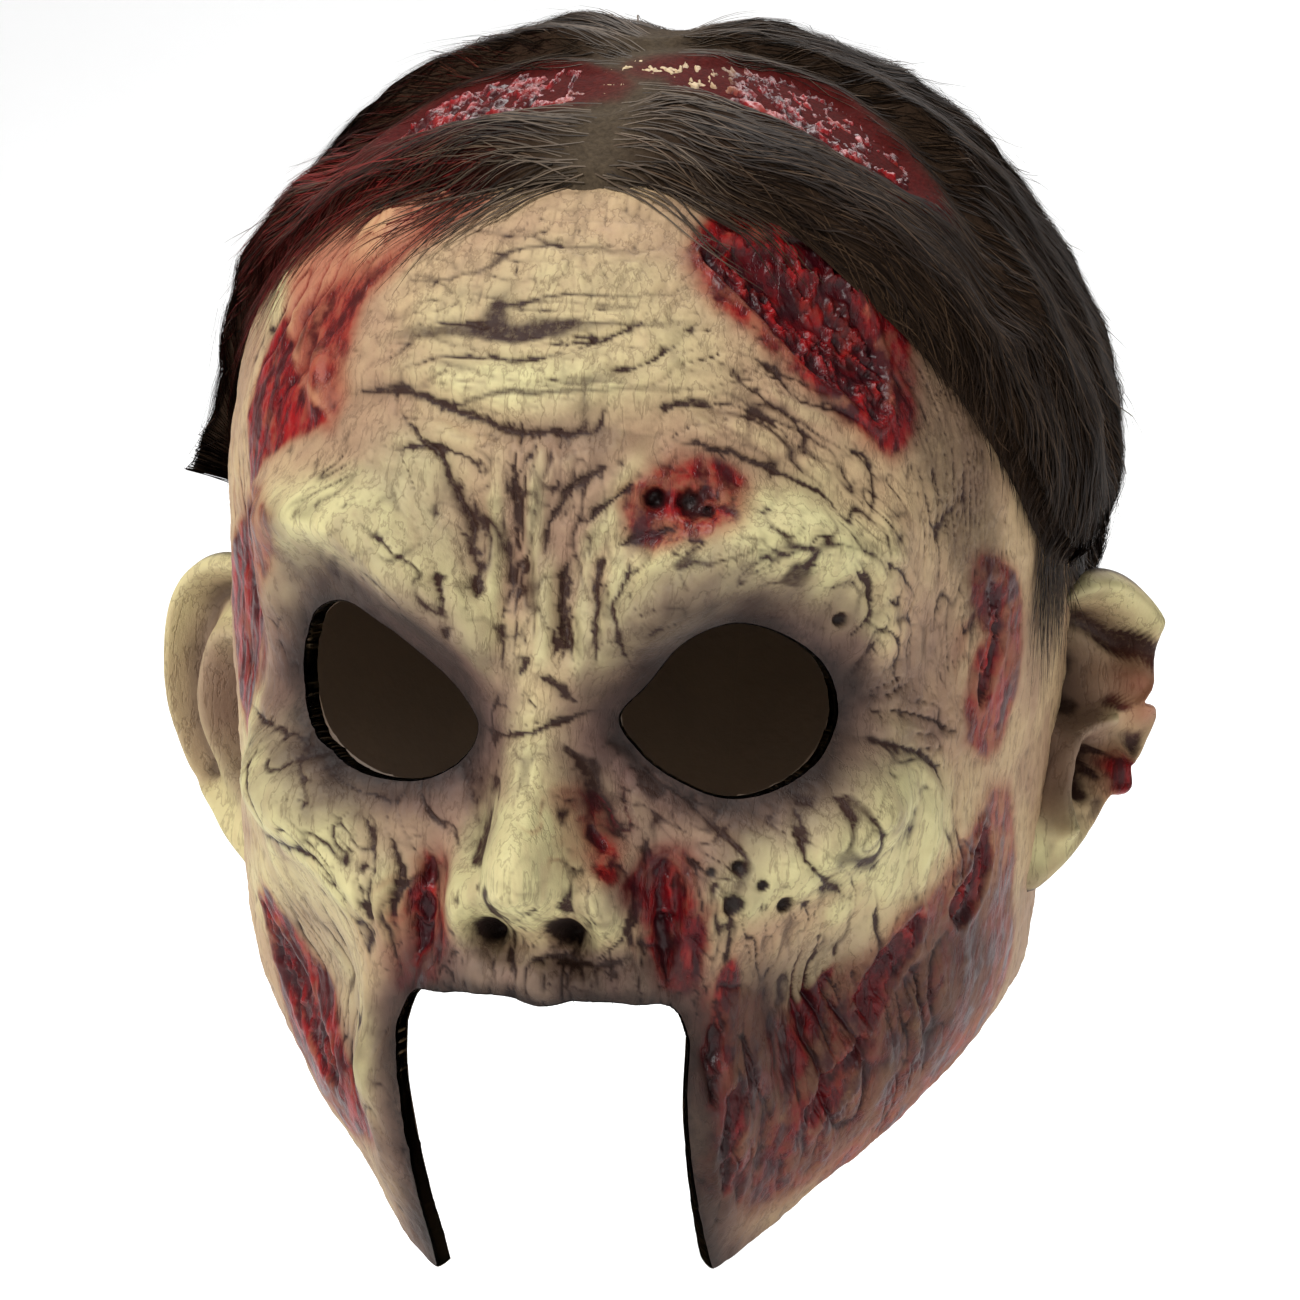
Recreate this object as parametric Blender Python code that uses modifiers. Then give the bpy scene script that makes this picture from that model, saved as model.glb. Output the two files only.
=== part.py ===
"""A latex zombie mask that leaves the wearer's mouth and chin free, with hair glued to its scalp.

Sizes are in millimetres and become metres where a mesh is made. The face looks along -Y, +X is the
wearer's left, and the origin is where the top of the wearer's head touches the inside of the crown.
"""
import math

import bmesh
import bpy
import numpy as np

METRES = 0.001

# The head that the latex is cast to, measured over the skin
HEAD_WIDTH = 165.0
HEAD_FRONT = 97.0
HEAD_BACK = 104.0
MASK_HEIGHT = 240.0
DOME_HEIGHT = 84.0
DOME_POWER = 2.05
WIDEST_BACK = 8.0
BACK_ROUNDNESS = 2.1
WALL = 2.2
RELIEF = 10.0

# The eye holes and the open mouth and chin
EYE_SPACING = 64.5
EYE_DROP = 120.5
EYE_WIDTH = 38.0
EYE_HEIGHT = 33.0
MOUTH_WIDTH = 56.0
MOUTH_DROP = 179.5
MOUTH_ARCH = 5.0
CHIN_RIGHT = 0.62
CHIN_LEFT = 1.08

# The nose
NOSE_TOP = 106.0
NOSE_TIP_DROP = 152.0
NOSE_REACH = 24.0
NOSE_WIDTH = 36.0
NOSE_ROUND = 2.6

# The ears
EAR_HEIGHT = 66.0
EAR_WIDTH = 34.0
EAR_DROP = 132.5
EAR_TURN = 84.0
EAR_LEAN = 8.0
EAR_WALL = 3.2
EAR_ROOT = 5.0
EAR_STEPS = 24


# The hair, glued to the scalp in two halves that meet at the parting
HAIR_GAP = 0.9
HAIR_THICK = 5.6
HAIR_PARTING = 2.2
HAIR_EDGE = 1.6
EDGE_BLEND = 16.0
PARTING_BLEND = 20.0
PARTING_GAP = 0.8
LOCK_RELIEF = 0.9
LOCK_PITCH = 25.0
LOCK_SWEEP = 0.5
SLIT_LENGTH = 44.0
SLIT_THIN = 0.65

# Mesh divisions
COLUMNS = 66
FACE_DENSITY = 0.48
DOME_ROWS = 8
FACE_ROWS = 30
HAIR_COLUMNS = 20
HAIR_ROWS = 13

HALF_HEAD = HEAD_WIDTH / 2
GIRTH_RADIUS = HEAD_FRONT + WIDEST_BACK
DOME_BASE = WALL - DOME_HEIGHT

# What the forms and folds are measured from: across and drop of the middle, then the two sizes
ANCHORS = {
    "head": (0.0, 0.0, HALF_HEAD, MASK_HEIGHT),
    "eye": (EYE_SPACING / 2, EYE_DROP, EYE_WIDTH, EYE_HEIGHT),
    "mouth": (0.0, MOUTH_DROP, MOUTH_WIDTH / 2, MOUTH_DROP - NOSE_TIP_DROP),
}

# Sections below the dome: drop as a share of MASK_HEIGHT, then shares of half the head's width,
# HEAD_FRONT and HEAD_BACK, and how square the face's side of the section is
SECTIONS = (
    # drop, width, front, back, roundness
    (0.30, 1.000, 1.000, 1.000, 2.30),
    (0.42, 0.995, 1.000, 0.985, 2.30),
    (0.50, 0.975, 0.990, 0.950, 2.30),
    (0.58, 0.950, 0.975, 0.895, 2.30),
    (0.67, 0.930, 0.970, 0.830, 2.25),
    (0.75, 0.895, 0.965, 0.765, 2.20),
    (0.83, 0.775, 0.945, 0.720, 2.15),
    (0.92, 0.575, 0.900, 0.690, 2.10),
    (1.00, 0.440, 0.820, 0.680, 2.05),
    (1.06, 0.360, 0.730, 0.670, 2.00),
)

# Soft forms of the face: across and wide, drop and tall as shares of the sizes in ANCHORS, measured
# from its middle, tilt in degrees, push as a share of RELIEF. A pair stands on both sides.
FORMS = (
    # anchor, across, drop, wide, tall, tilt, push, pair
    ("eye", -0.26, -0.62, 0.46, 0.22, -38, 1.15, True),
    ("eye", 0.37, -0.96, 0.52, 0.23, 0, 0.95, True),
    ("eye", 0.88, -0.56, 0.26, 0.40, 0, 0.40, True),
    ("eye", 0.06, 0.00, 0.52, 0.36, -12, -1.15, True),
    ("eye", 0.67, 0.64, 0.52, 0.31, -22, 1.00, True),
    ("head", 0.00, 0.440, 0.16, 0.045, 0, 0.35, False),
    ("head", 0.45, 0.655, 0.16, 0.035, -20, 0.40, True),
    ("head", 0.76, 0.740, 0.28, 0.060, 0, -0.85, True),
    ("mouth", 0.00, -0.30, 0.77, 0.22, 0, 0.45, False),
    ("mouth", 1.24, 0.51, 0.41, 0.86, -6, 0.45, True),
    ("head", 1.02, 0.450, 0.24, 0.090, 0, -0.35, True),
    ("head", 0.24, 0.300, 0.36, 0.070, 0, 0.25, True),
    ("head", 0.62, 0.195, 0.28, 0.028, 31, -0.35, False),
    ("head", -0.78, 0.230, 0.26, 0.060, 0, -0.18, False),
)

# Folds pressed into the skin: their ends as shares of the sizes in ANCHORS, half width and depth
# as shares of RELIEF
FOLDS = (
    # anchor, from across, from drop, to across, to drop, half width, depth
    ("mouth", 0.68, -0.94, 1.18, 0.17, 0.50, 0.34),
    ("mouth", -0.68, -0.94, -1.18, 0.17, 0.50, 0.34),
    ("head", 0.09, 0.380, 0.07, 0.455, 0.32, 0.18),
    ("head", -0.09, 0.380, -0.07, 0.455, 0.32, 0.18),
    ("head", -0.56, 0.275, -0.04, 0.298, 0.36, 0.16),
    ("head", 0.04, 0.298, 0.36, 0.275, 0.36, 0.14),
    ("head", 0.23, 0.300, 0.70, 0.355, 0.36, 0.16),
    ("head", 0.62, 0.830, 0.80, 0.720, 0.60, 0.22),
    ("head", -0.66, 0.740, -0.52, 0.850, 0.60, 0.22),
)

# Ridge of the nose: along from NOSE_TOP to the tip, reach as a share of NOSE_REACH, half width as
# a share of NOSE_WIDTH
NOSE = (
    # along, reach, half width
    (0.00, 0.00, 0.34),
    (0.22, 0.20, 0.31),
    (0.50, 0.44, 0.25),
    (0.74, 0.74, 0.23),
    (0.92, 0.98, 0.25),
    (1.03, 1.00, 0.26),
    (1.14, 0.66, 0.26),
    (1.24, 0.16, 0.26),
    (1.34, 0.00, 0.26),
)

# Wings and nostrils: across, below the tip, wide and tall as shares of NOSE_WIDTH, reach as a
# share of NOSE_REACH
NOSE_SIDES = (
    # across, below, wide, tall, reach
    (0.40, 0.11, 0.14, 0.23, 0.46),
    (0.21, 0.29, 0.11, 0.11, -0.25),
)

# Outline of an eye hole from its inner corner round: shares of half its width and height
EYE_OUTLINE = (
    # across, up on the wearer's left, up on the wearer's right
    (-1.00, -0.12, -0.30),
    (-0.74, 0.26, 0.10),
    (-0.38, 0.74, 0.42),
    (0.06, 0.99, 0.76),
    (0.48, 0.88, 1.00),
    (0.86, 0.52, 0.78),
    (1.00, -0.02, 0.16),
    (0.88, -0.54, -0.40),
    (0.52, -0.88, -0.78),
    (0.04, -1.00, -0.98),
    (-0.46, -0.80, -0.96),
    (-0.84, -0.48, -0.70),
)

# Upper edge of the mouth opening: across as a share of half its width, up as a share of its arch
LIP_EDGE = (
    # across, up
    (-1.00, -0.60),
    (-0.93, 0.40),
    (-0.62, 0.90),
    (-0.25, 1.00),
    (0.05, 0.65),
    (0.30, 0.95),
    (0.65, 0.85),
    (0.93, 0.40),
    (1.00, -0.60),
)

# Lower edge of the mask seen from the side: how far back as a share of the head's length from the
# front, drop as a share of MASK_HEIGHT
JAW_EDGE = (
    # back, drop
    (-0.10, 0.965),
    (0.10, 0.970),
    (0.20, 0.945),
    (0.32, 0.872),
    (0.42, 0.800),
    (0.52, 0.752),
    (0.64, 0.735),
    (0.80, 0.745),
    (1.15, 0.750),
)

# Hairline: turn from the nose in degrees, drop as a share of MASK_HEIGHT
HAIRLINE = (
    # turn, on the wearer's left, on the wearer's right
    (0, 0.110, 0.110),
    (15, 0.112, 0.115),
    (27, 0.140, 0.120),
    (36, 0.190, 0.135),
    (46, 0.250, 0.165),
    (58, 0.325, 0.210),
    (70, 0.385, 0.270),
    (82, 0.400, 0.360),
    (100, 0.388, 0.380),
    (114, 0.440, 0.440),
    (124, 0.590, 0.590),
    (138, 0.680, 0.680),
    (180, 0.700, 0.700),
)

# Where the hair stands fuller: turn and wide in degrees to the wearer's left, drop and tall as
# shares of MASK_HEIGHT, push as a share of HAIR_THICK
HAIR_FORMS = (
    # turn, drop, wide, tall, push
    (-90, 0.372, 17, 0.048, 2.20),
    (-84, 0.200, 26, 0.060, 0.25),
    (88, 0.300, 26, 0.090, 0.30),
    (60, 0.070, 25, 0.050, 0.20),
)

# Bare slits in the hair: where they lie on the scalp, with fall 0 at the crown and 1 at the foot of
# the dome, their length, width and depth as shares of SLIT_LENGTH, and which way they run
SLITS = (
    # name, turn, fall, long, wide, deep, aim
    ("slit_right", -27, 0.385, 0.78, 0.27, 0.50, -8),
    ("slit_left", 36, 0.375, 1.00, 0.29, 0.58, -4),
)

# The two ears: side of the head, shares of EAR_DROP and EAR_HEIGHT, flare in degrees
EARS = (
    # name, side, drop, height, flare
    ("ear_left", 1, 0.975, 0.985, 42.0),
    ("ear_right", -1, 1.025, 1.030, 58.0),
)

# Ear outline from its top round the back to the lobe and up the front: across from the head and
# up, as shares of EAR_WIDTH and half of the ear's height
EAR_OUTLINE = (
    # across, up
    (0.22, 0.93),
    (0.52, 1.00),
    (0.82, 0.86),
    (0.98, 0.50),
    (1.00, 0.12),
    (0.88, -0.24),
    (0.72, -0.50),
    (0.50, -0.80),
    (0.28, -1.00),
    (0.06, -0.90),
    (0.00, -0.50),
    (0.00, 0.00),
    (0.02, 0.52),
)

# Bites out of the wearer's left ear: turn round the ear in degrees, half width in degrees, depth
# as a share of the outline's distance from the ear's middle
EAR_BITES = (
    # turn, half width, depth
    (33, 9, 0.34),
    (-26, 9, 0.22),
    (-52, 8, 0.16),
)


def column(rows, index):
    """One column of a table as an array."""
    return np.array([row[index] for row in rows], float)


def slopes(at, value):
    """Slopes of a smooth curve through the points, level at its peaks."""
    step = np.diff(value) / np.diff(at)
    inner = np.where(step[:-1] * step[1:] > 0, (step[:-1] + step[1:]) / 2, 0.0)
    return np.concatenate([step[:1], inner, step[-1:]])


def smooth(at, value, where):
    """Cubic curve through the points, read at where."""
    slope = slopes(at, value)
    where = np.clip(where, at[0], at[-1])
    left = np.clip(np.searchsorted(at, where, side="right") - 1, 0, len(at) - 2)
    width = at[left + 1] - at[left]
    part = (where - at[left]) / width
    rise = part * part * (3 - 2 * part)
    start = part * (1 - part) ** 2 * width * slope[left]
    end = part * part * (1 - part) * width * slope[left + 1]
    return value[left] * (1 - rise) + value[left + 1] * rise + start - end


def closed_curve(corners, steps):
    """Smooth closed outline through the corners, with this many steps to each."""
    points = np.array(corners, float)
    outline = []
    for i in range(len(points)):
        before, here, there, after = (points[(i + k) % len(points)] for k in (-1, 0, 1, 2))
        for k in range(steps):
            t = k / steps
            outline.append(
                0.5
                * (
                    2 * here
                    + (there - before) * t
                    + (2 * before - 5 * here + 4 * there - after) * t * t
                    + (3 * here - before - 3 * there + after) * t ** 3
                )
            )
    return np.array(outline)


def section(fall):
    """Height and section of the head: fall runs 0 to 1 over the dome and 1 to 2 below it."""
    fall = np.asarray(fall, float)
    angle = np.clip(fall, 0, 1) * math.pi / 2
    shrink = np.sin(angle) ** (2 / DOME_POWER)
    dome = DOME_BASE + DOME_HEIGHT * np.cos(angle) ** (2 / DOME_POWER)
    bottom = -SECTIONS[-1][0] * MASK_HEIGHT
    height = np.where(fall > 1, DOME_BASE + (bottom - DOME_BASE) * (fall - 1), dome)
    drop = -height / MASK_HEIGHT
    drops = column(SECTIONS, 0)
    drops[0] = -DOME_BASE / MASK_HEIGHT
    half = HALF_HEAD * smooth(drops, column(SECTIONS, 1), drop) * shrink
    front = (HEAD_FRONT * smooth(drops, column(SECTIONS, 2), drop) + WIDEST_BACK) * shrink
    back = (HEAD_BACK * smooth(drops, column(SECTIONS, 3), drop) - WIDEST_BACK) * shrink
    square = smooth(drops, column(SECTIONS, 4), drop)
    return height, half, front, back, square


def head_point(turn, fall):
    """Plain head before any feature: turn in radians from the nose, positive to the wearer's left."""
    height, half, front, back, square = section(fall)
    ahead = np.cos(turn) > 0
    power = np.where(ahead, square, BACK_ROUNDNESS)
    reach = np.where(ahead, front, back)
    side = np.abs(np.sin(turn)) / np.maximum(half, 1e-6)
    along = np.abs(np.cos(turn)) / np.maximum(reach, 1e-6)
    radius = 1 / (side ** power + along ** power) ** (1 / power)
    radius = np.where(half < 1e-5, 0, radius)
    return np.stack([radius * np.sin(turn), WIDEST_BACK - radius * np.cos(turn), height], axis=-1)


def head_normal(turn, fall):
    """Outward direction of the plain head."""
    tiny = 1e-3
    fall = np.maximum(fall, 2 * tiny)
    along = head_point(turn + tiny, fall) - head_point(turn - tiny, fall)
    down = head_point(turn, fall + tiny) - head_point(turn, fall - tiny)
    normal = np.cross(along, down)
    return -normal / np.linalg.norm(normal, axis=-1, keepdims=True)


def mound(across, down, form):
    """A soft bump: 1 at its middle, fading to 0."""
    middle, drop, wide, tall, tilt = form
    lean = math.radians(tilt)
    x = across - middle
    z = down - drop
    u = (x * math.cos(lean) + z * math.sin(lean)) / wide
    v = (z * math.cos(lean) - x * math.sin(lean)) / tall
    return np.exp(-u * u - v * v)


def anchored(anchor, across, drop):
    """A place on the unrolled face, given as shares of the sizes of its anchor."""
    middle, level, wide, tall = ANCHORS[anchor]
    return np.array([middle + across * wide, level + drop * tall])


def face_relief(turn, height):
    """How far the features stand out from the plain head."""
    across = turn * GIRTH_RADIUS
    down = -height
    push = np.zeros(np.broadcast(turn, height).shape)
    for anchor, middle, drop, wide, tall, tilt, share, pair in FORMS:
        x, z = anchored(anchor, middle, drop)
        size = ANCHORS[anchor][2:]
        for side in (1, -1) if pair else (1,):
            form = (side * x, z, wide * size[0], tall * size[1], side * tilt)
            push = push + share * RELIEF * mound(across, down, form)
    for anchor, x0, z0, x1, z1, half, depth in FOLDS:
        start = anchored(anchor, x0, z0)
        run = anchored(anchor, x1, z1) - start
        part = ((across - start[0]) * run[0] + (down - start[1]) * run[1]) / (run @ run)
        part = np.clip(part, 0, 1)
        off = np.hypot(across - start[0] - part * run[0], down - start[1] - part * run[1])
        push = push - depth * RELIEF * np.exp(-(off / (half * RELIEF)) ** 2)
    return push


def nose_reach(turn, height):
    """How far the nose stands forward of the face."""
    across = np.abs(turn * GIRTH_RADIUS) / NOSE_WIDTH
    along = (-height - NOSE_TOP) / (NOSE_TIP_DROP - NOSE_TOP)
    ridge = smooth(column(NOSE, 0), column(NOSE, 1), along)
    spread = smooth(column(NOSE, 0), column(NOSE, 2), along)
    reach = ridge * np.exp(-(across / spread) ** NOSE_ROUND)
    below = (-height - NOSE_TIP_DROP) / NOSE_WIDTH
    for middle, low, wide, tall, share in NOSE_SIDES:
        side = ((across - middle) / wide) ** 2 + ((below - low) / tall) ** 2
        reach = reach + share * np.exp(-side)
    return NOSE_REACH * reach


def skin_point(turn, fall, lift=0.0):
    """A point of the skin, lifted this far off it."""
    turn = np.asarray(turn, float)
    fall = np.asarray(fall, float)
    plain = head_point(turn, fall)
    height = plain[..., 2]
    push = face_relief(turn, height) + lift
    point = plain + head_normal(turn, fall) * push[..., None]
    reach = nose_reach(turn, height)
    point[..., 1] -= reach
    return point


def fall_of(height):
    """The fall at which the plain head has this height."""
    height = np.asarray(height, float)
    bottom = -SECTIONS[-1][0] * MASK_HEIGHT
    below = 1 + (height - DOME_BASE) / (bottom - DOME_BASE)
    share = np.clip((height - DOME_BASE) / DOME_HEIGHT, 0, 1)
    dome = np.arccos(share ** (DOME_POWER / 2)) * 2 / math.pi
    return np.where(height < DOME_BASE, below, dome)


def uneven(count, dense):
    """Turns round the head, closer together at the face."""
    even = np.linspace(-math.pi, math.pi, count, endpoint=False)
    return even - dense * np.sin(even)


def clear_scene():
    for item in list(bpy.data.objects):
        bpy.data.objects.remove(item, do_unlink=True)


def new_collection(name):
    collection = bpy.data.collections.new(name)
    bpy.context.scene.collection.children.link(collection)
    return collection


def material(name, colour, roughness):
    finish = bpy.data.materials.new(name)
    finish.use_nodes = True
    shader = finish.node_tree.nodes["Principled BSDF"]
    shader.inputs["Base Color"].default_value = (*colour, 1)
    shader.inputs["Roughness"].default_value = roughness
    shader.inputs["Metallic"].default_value = 0.0
    finish.diffuse_color = (*colour, 1)
    return finish


def mesh_object(name, points, faces, collection, finish=None):
    """An object of this mesh, with its faces turned outward."""
    mesh = bpy.data.meshes.new(name)
    mesh.from_pydata([tuple(p * METRES) for p in points], [], faces)
    edit = bmesh.new()
    edit.from_mesh(mesh)
    bmesh.ops.recalc_face_normals(edit, faces=edit.faces)
    edit.to_mesh(mesh)
    edit.free()
    mesh.shade_smooth()
    item = bpy.data.objects.new(name, mesh)
    collection.objects.link(item)
    if finish:
        mesh.materials.append(finish)
    return item


def ring_faces(rows, columns, first):
    """Quads between closed rings of points, facing out when the rings run down and to the left."""
    faces = []
    for i in range(rows - 1):
        for j in range(columns):
            k = (j + 1) % columns
            a = first + i * columns
            b = a + columns
            faces.append((a + j, b + j, b + k, a + k))
    return faces


def split_quads(faces, points, middles):
    """Splits each quad along the diagonal that lies closer to the surface's own middle."""
    split = []
    for (a, b, c, d), middle in zip(faces, middles):
        first = np.linalg.norm((points[a] + points[c]) / 2 - middle)
        second = np.linalg.norm((points[b] + points[d]) / 2 - middle)
        if first <= second:
            split += [(a, b, c), (a, c, d)]
        else:
            split += [(a, b, d), (b, c, d)]
    return split


def head_loft(name, lift, collection, finish=None, capped=False):
    """The head's surface as one open sheet from the crown down, or a closed core if capped."""
    turns = uneven(COLUMNS, FACE_DENSITY)
    falls = np.concatenate([
        np.linspace(0, 1, DOME_ROWS + 1)[1:],
        1 + np.linspace(0, 1, FACE_ROWS + 1)[1:],
    ])
    grid_turn, grid_fall = np.meshgrid(turns, falls)
    rings = skin_point(grid_turn, grid_fall, lift)
    crown = np.array([0, WIDEST_BACK, WALL + lift])
    points = np.vstack([crown[None], rings.reshape(-1, 3)])
    between = (turns + np.append(turns[1:], turns[0] + 2 * math.pi)) / 2
    middle_turn, middle_fall = np.meshgrid(between, (falls[:-1] + falls[1:]) / 2)
    middles = skin_point(middle_turn, middle_fall, lift).reshape(-1, 3)
    faces = [(0, 1 + j, 1 + (j + 1) % COLUMNS) for j in range(COLUMNS)]
    faces += split_quads(ring_faces(len(falls), COLUMNS, 1), points, middles)
    if capped:
        last = 1 + (len(falls) - 1) * COLUMNS
        faces.append(tuple(last + j for j in reversed(range(COLUMNS))))
    return mesh_object(name, points, faces, collection, finish)


def flat_cutter(name, outline, thick, collection):
    """A closed outline in its own X and Y, made thick along Z, as a mesh that can cut."""
    curve = bpy.data.curves.new(name, "CURVE")
    curve.dimensions = "2D"
    curve.fill_mode = "BOTH"
    curve.extrude = thick / 2 * METRES
    spline = curve.splines.new("POLY")
    spline.points.add(len(outline) - 1)
    for point, (x, y) in zip(spline.points, outline):
        point.co = (x * METRES, y * METRES, 0, 1)
    spline.use_cyclic_u = True
    return curve_to_mesh(name, curve, collection)


def curve_to_mesh(name, curve, collection):
    source = bpy.data.objects.new(name + "_curve", curve)
    collection.objects.link(source)
    bpy.context.view_layer.update()
    graph = bpy.context.evaluated_depsgraph_get()
    mesh = bpy.data.meshes.new_from_object(source.evaluated_get(graph))
    weld = bmesh.new()
    weld.from_mesh(mesh)
    bmesh.ops.remove_doubles(weld, verts=weld.verts, dist=1e-6)
    bmesh.ops.recalc_face_normals(weld, faces=weld.faces)
    weld.to_mesh(mesh)
    weld.free()
    item = bpy.data.objects.new(name, mesh)
    collection.objects.link(item)
    bpy.data.objects.remove(source, do_unlink=True)
    return item


def as_helper(item):
    item.hide_render = True
    item.display_type = "WIRE"
    return item


def combine(item, other, operation):
    change = item.modifiers.new(other.name, "BOOLEAN")
    change.operation = operation
    change.object = other
    change.solver = "EXACT"


def face_forward(item, x, y, z):
    """Stands a flat cutter up so that its outline faces -Y."""
    item.rotation_euler = (math.radians(90), 0, 0)
    item.location = (x * METRES, y * METRES, z * METRES)


def eye_cutter(side, cutters):
    """Cuts an eye hole through the face, its outline facing forward."""
    up = 1 if side > 0 else 2
    corners = [(row[0] * side, row[up]) for row in EYE_OUTLINE]
    outline = closed_curve(corners, 3) * (EYE_WIDTH / 2, EYE_HEIGHT / 2)
    name = "eye_hole_left" if side > 0 else "eye_hole_right"
    item = flat_cutter(name, outline, HEAD_FRONT, cutters)
    face_forward(item, side * EYE_SPACING / 2, -HEAD_FRONT, -EYE_DROP)
    return as_helper(item)


def mouth_cutter(cutters):
    """Cuts the mouth and everything below it down past the chin."""
    half = MOUTH_WIDTH / 2
    across = column(LIP_EDGE, 0) * half
    up = column(LIP_EDGE, 1) * MOUTH_ARCH
    fine = np.linspace(-half, half, 25)
    top = list(zip(fine, smooth(across, up, fine)))
    deep = -(1.2 * MASK_HEIGHT - MOUTH_DROP)
    outline = [(-half * CHIN_RIGHT, deep)] + top + [(half * CHIN_LEFT, deep)]
    item = flat_cutter("mouth_and_chin", outline, HEAD_FRONT + RELIEF, cutters)
    face_forward(item, 0, -HEAD_FRONT, -MOUTH_DROP)
    return as_helper(item)


def jaw_cutter(cutters):
    length = HEAD_FRONT + HEAD_BACK
    back = column(JAW_EDGE, 0) * length - HEAD_FRONT
    up = -column(JAW_EDGE, 1) * MASK_HEIGHT
    fine = np.linspace(back[0], back[-1], 28)
    edge = [(y, z) for y, z in zip(fine, smooth(back, up, fine))]
    deep = -1.3 * MASK_HEIGHT
    outline = [(back[0], deep)] + edge + [(back[-1], deep)]
    item = flat_cutter("jaw_and_nape", outline, 1.4 * HEAD_WIDTH, cutters)
    item.rotation_euler = (math.radians(90), 0, math.radians(90))
    return as_helper(item)


def ear_radius(turn, height, bites):
    """Middle of the ear and the distance from there to its outline in this direction."""
    outline = closed_curve(EAR_OUTLINE, 8) * (EAR_WIDTH, height / 2)
    middle = np.array([0.45 * EAR_WIDTH, 0])
    arm = outline - middle
    angle = np.arctan2(arm[:, 1], arm[:, 0])
    order = np.argsort(angle)
    radius = np.hypot(arm[:, 0], arm[:, 1])[order]
    reach = np.interp(turn, angle[order], radius, period=2 * math.pi)
    for at, half, depth in bites:
        off = (np.degrees(turn) - at + 180) % 360 - 180
        reach = reach * (1 - depth * np.exp(-(off / half) ** 2))
    return middle, reach


def ear_hollow(share, turn):
    """Height of the ear's front face over its plane: bowl, inner fold and rolled rim."""
    bowl = -0.17 * EAR_WIDTH * np.exp(-((share / 0.46) ** 2))
    fold = 0.055 * EAR_WIDTH * np.exp(-(((share - 0.56) / 0.13) ** 2))
    rim = 0.085 * EAR_WIDTH * np.exp(-(((share - 0.90) / 0.11) ** 2))
    lobe = np.clip(-np.sin(turn), 0, 1) ** 3
    return bowl + (fold + rim) * (1 - 0.8 * lobe)


def ear_frame(side, drop, flare):
    """Corner of the ear on the head, and its across, up and outward directions."""
    root = skin_point(side * math.radians(EAR_TURN), fall_of(-drop), -EAR_ROOT)
    flare = math.radians(flare)
    lean = math.radians(EAR_LEAN)
    across = np.array([side * math.sin(flare), math.cos(flare), 0])
    out = np.array([side * math.cos(flare), -math.sin(flare), 0])
    up = np.array([0, 0, 1.0])
    tipped_up = up * math.cos(lean) + across * math.sin(lean)
    tipped_across = across * math.cos(lean) - up * math.sin(lean)
    return root, tipped_across, tipped_up, out


def ear(row, collection):
    """A closed ear: a dished front, a plain back, both on one outline."""
    name, side, drop, height, flare = row
    root, across, up, out = ear_frame(side, drop * EAR_DROP, flare)
    steps = EAR_STEPS
    rings = (0.28, 0.50, 0.68, 0.86, 1.0)
    turns = np.linspace(-math.pi, math.pi, steps, endpoint=False)
    middle, reach = ear_radius(turns, height * EAR_HEIGHT, EAR_BITES if side > 0 else ())

    def place(share, lift):
        flat = middle[:, None] + share * reach * np.array([np.cos(turns), np.sin(turns)])
        return root + (flat[0][:, None] * across + flat[1][:, None] * up
                       + np.broadcast_to(lift, turns.shape)[:, None] * out)

    middle_point = root + middle[0] * across + middle[1] * up
    points = [middle_point + out * ear_hollow(0.0, 0.0)]
    for share in rings:
        points += list(place(share, ear_hollow(share, turns)))
    front = len(points)
    for share in reversed(rings[1:-1]):
        thick = EAR_WALL * min(1, 3 * (1 - share))
        points += list(place(share, ear_hollow(share, turns) - thick))
    points.append(middle_point + out * (ear_hollow(0.0, 0.0) - EAR_WALL))
    faces = [(0, 1 + j, 1 + (j + 1) % steps) for j in range(steps)]
    total = len(rings) + len(rings) - 2
    faces += ring_faces(total, steps, 1)
    last = 1 + (total - 1) * steps
    end = len(points) - 1
    faces += [(last + j, end, last + (j + 1) % steps) for j in range(steps)]
    return mesh_object(name, points, faces, collection)


def ears_on(skin, cutters):
    """Joins both ears to the skin, trimmed inside its wall."""
    for row in EARS:
        item = as_helper(ear(row, cutters))
        core = as_helper(head_loft(row[0] + "_core", -WALL / 2, cutters, capped=True))
        combine(item, core, "DIFFERENCE")
        combine(skin, item, "UNION")


def slit_place(row):
    """Middle of a bare slit on the scalp, and its size."""
    middle = skin_point(math.radians(row[1]), row[2])
    return middle, np.array(row[3:6]) * SLIT_LENGTH


def hair_thickness(turn, point, edge):
    """Thickness of the hair at a place on the scalp, with edge the distance to the hairline."""
    x, y, z = (point[..., i] for i in range(3))
    part = np.clip(np.abs(x) / PARTING_BLEND, 0, 1)
    part = part * part * (3 - 2 * part)
    thick = HAIR_PARTING + (HAIR_THICK - HAIR_PARTING) * part
    rim = np.clip(edge / EDGE_BLEND, 0, 1)
    rim = rim * (2 - rim)
    thick = HAIR_EDGE + (thick - HAIR_EDGE) * rim
    comb = (y + LOCK_SWEEP * z) / LOCK_PITCH
    thick = thick + LOCK_RELIEF * rim * part * np.cos(2 * math.pi * comb)
    for at, drop, wide, tall, push in HAIR_FORMS:
        off = ((np.degrees(turn) - at) / wide) ** 2 + ((-z / MASK_HEIGHT - drop) / tall) ** 2
        thick = thick + push * HAIR_THICK * np.exp(-off)
    for row in SLITS:
        middle, size = slit_place(row)
        off = ((x - middle[0]) / (0.6 * size[0])) ** 2 + ((y - middle[1]) / (1.2 * size[1])) ** 2
        thick = thick * (1 - SLIT_THIN * np.exp(-off ** 2))
    return thick


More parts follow.
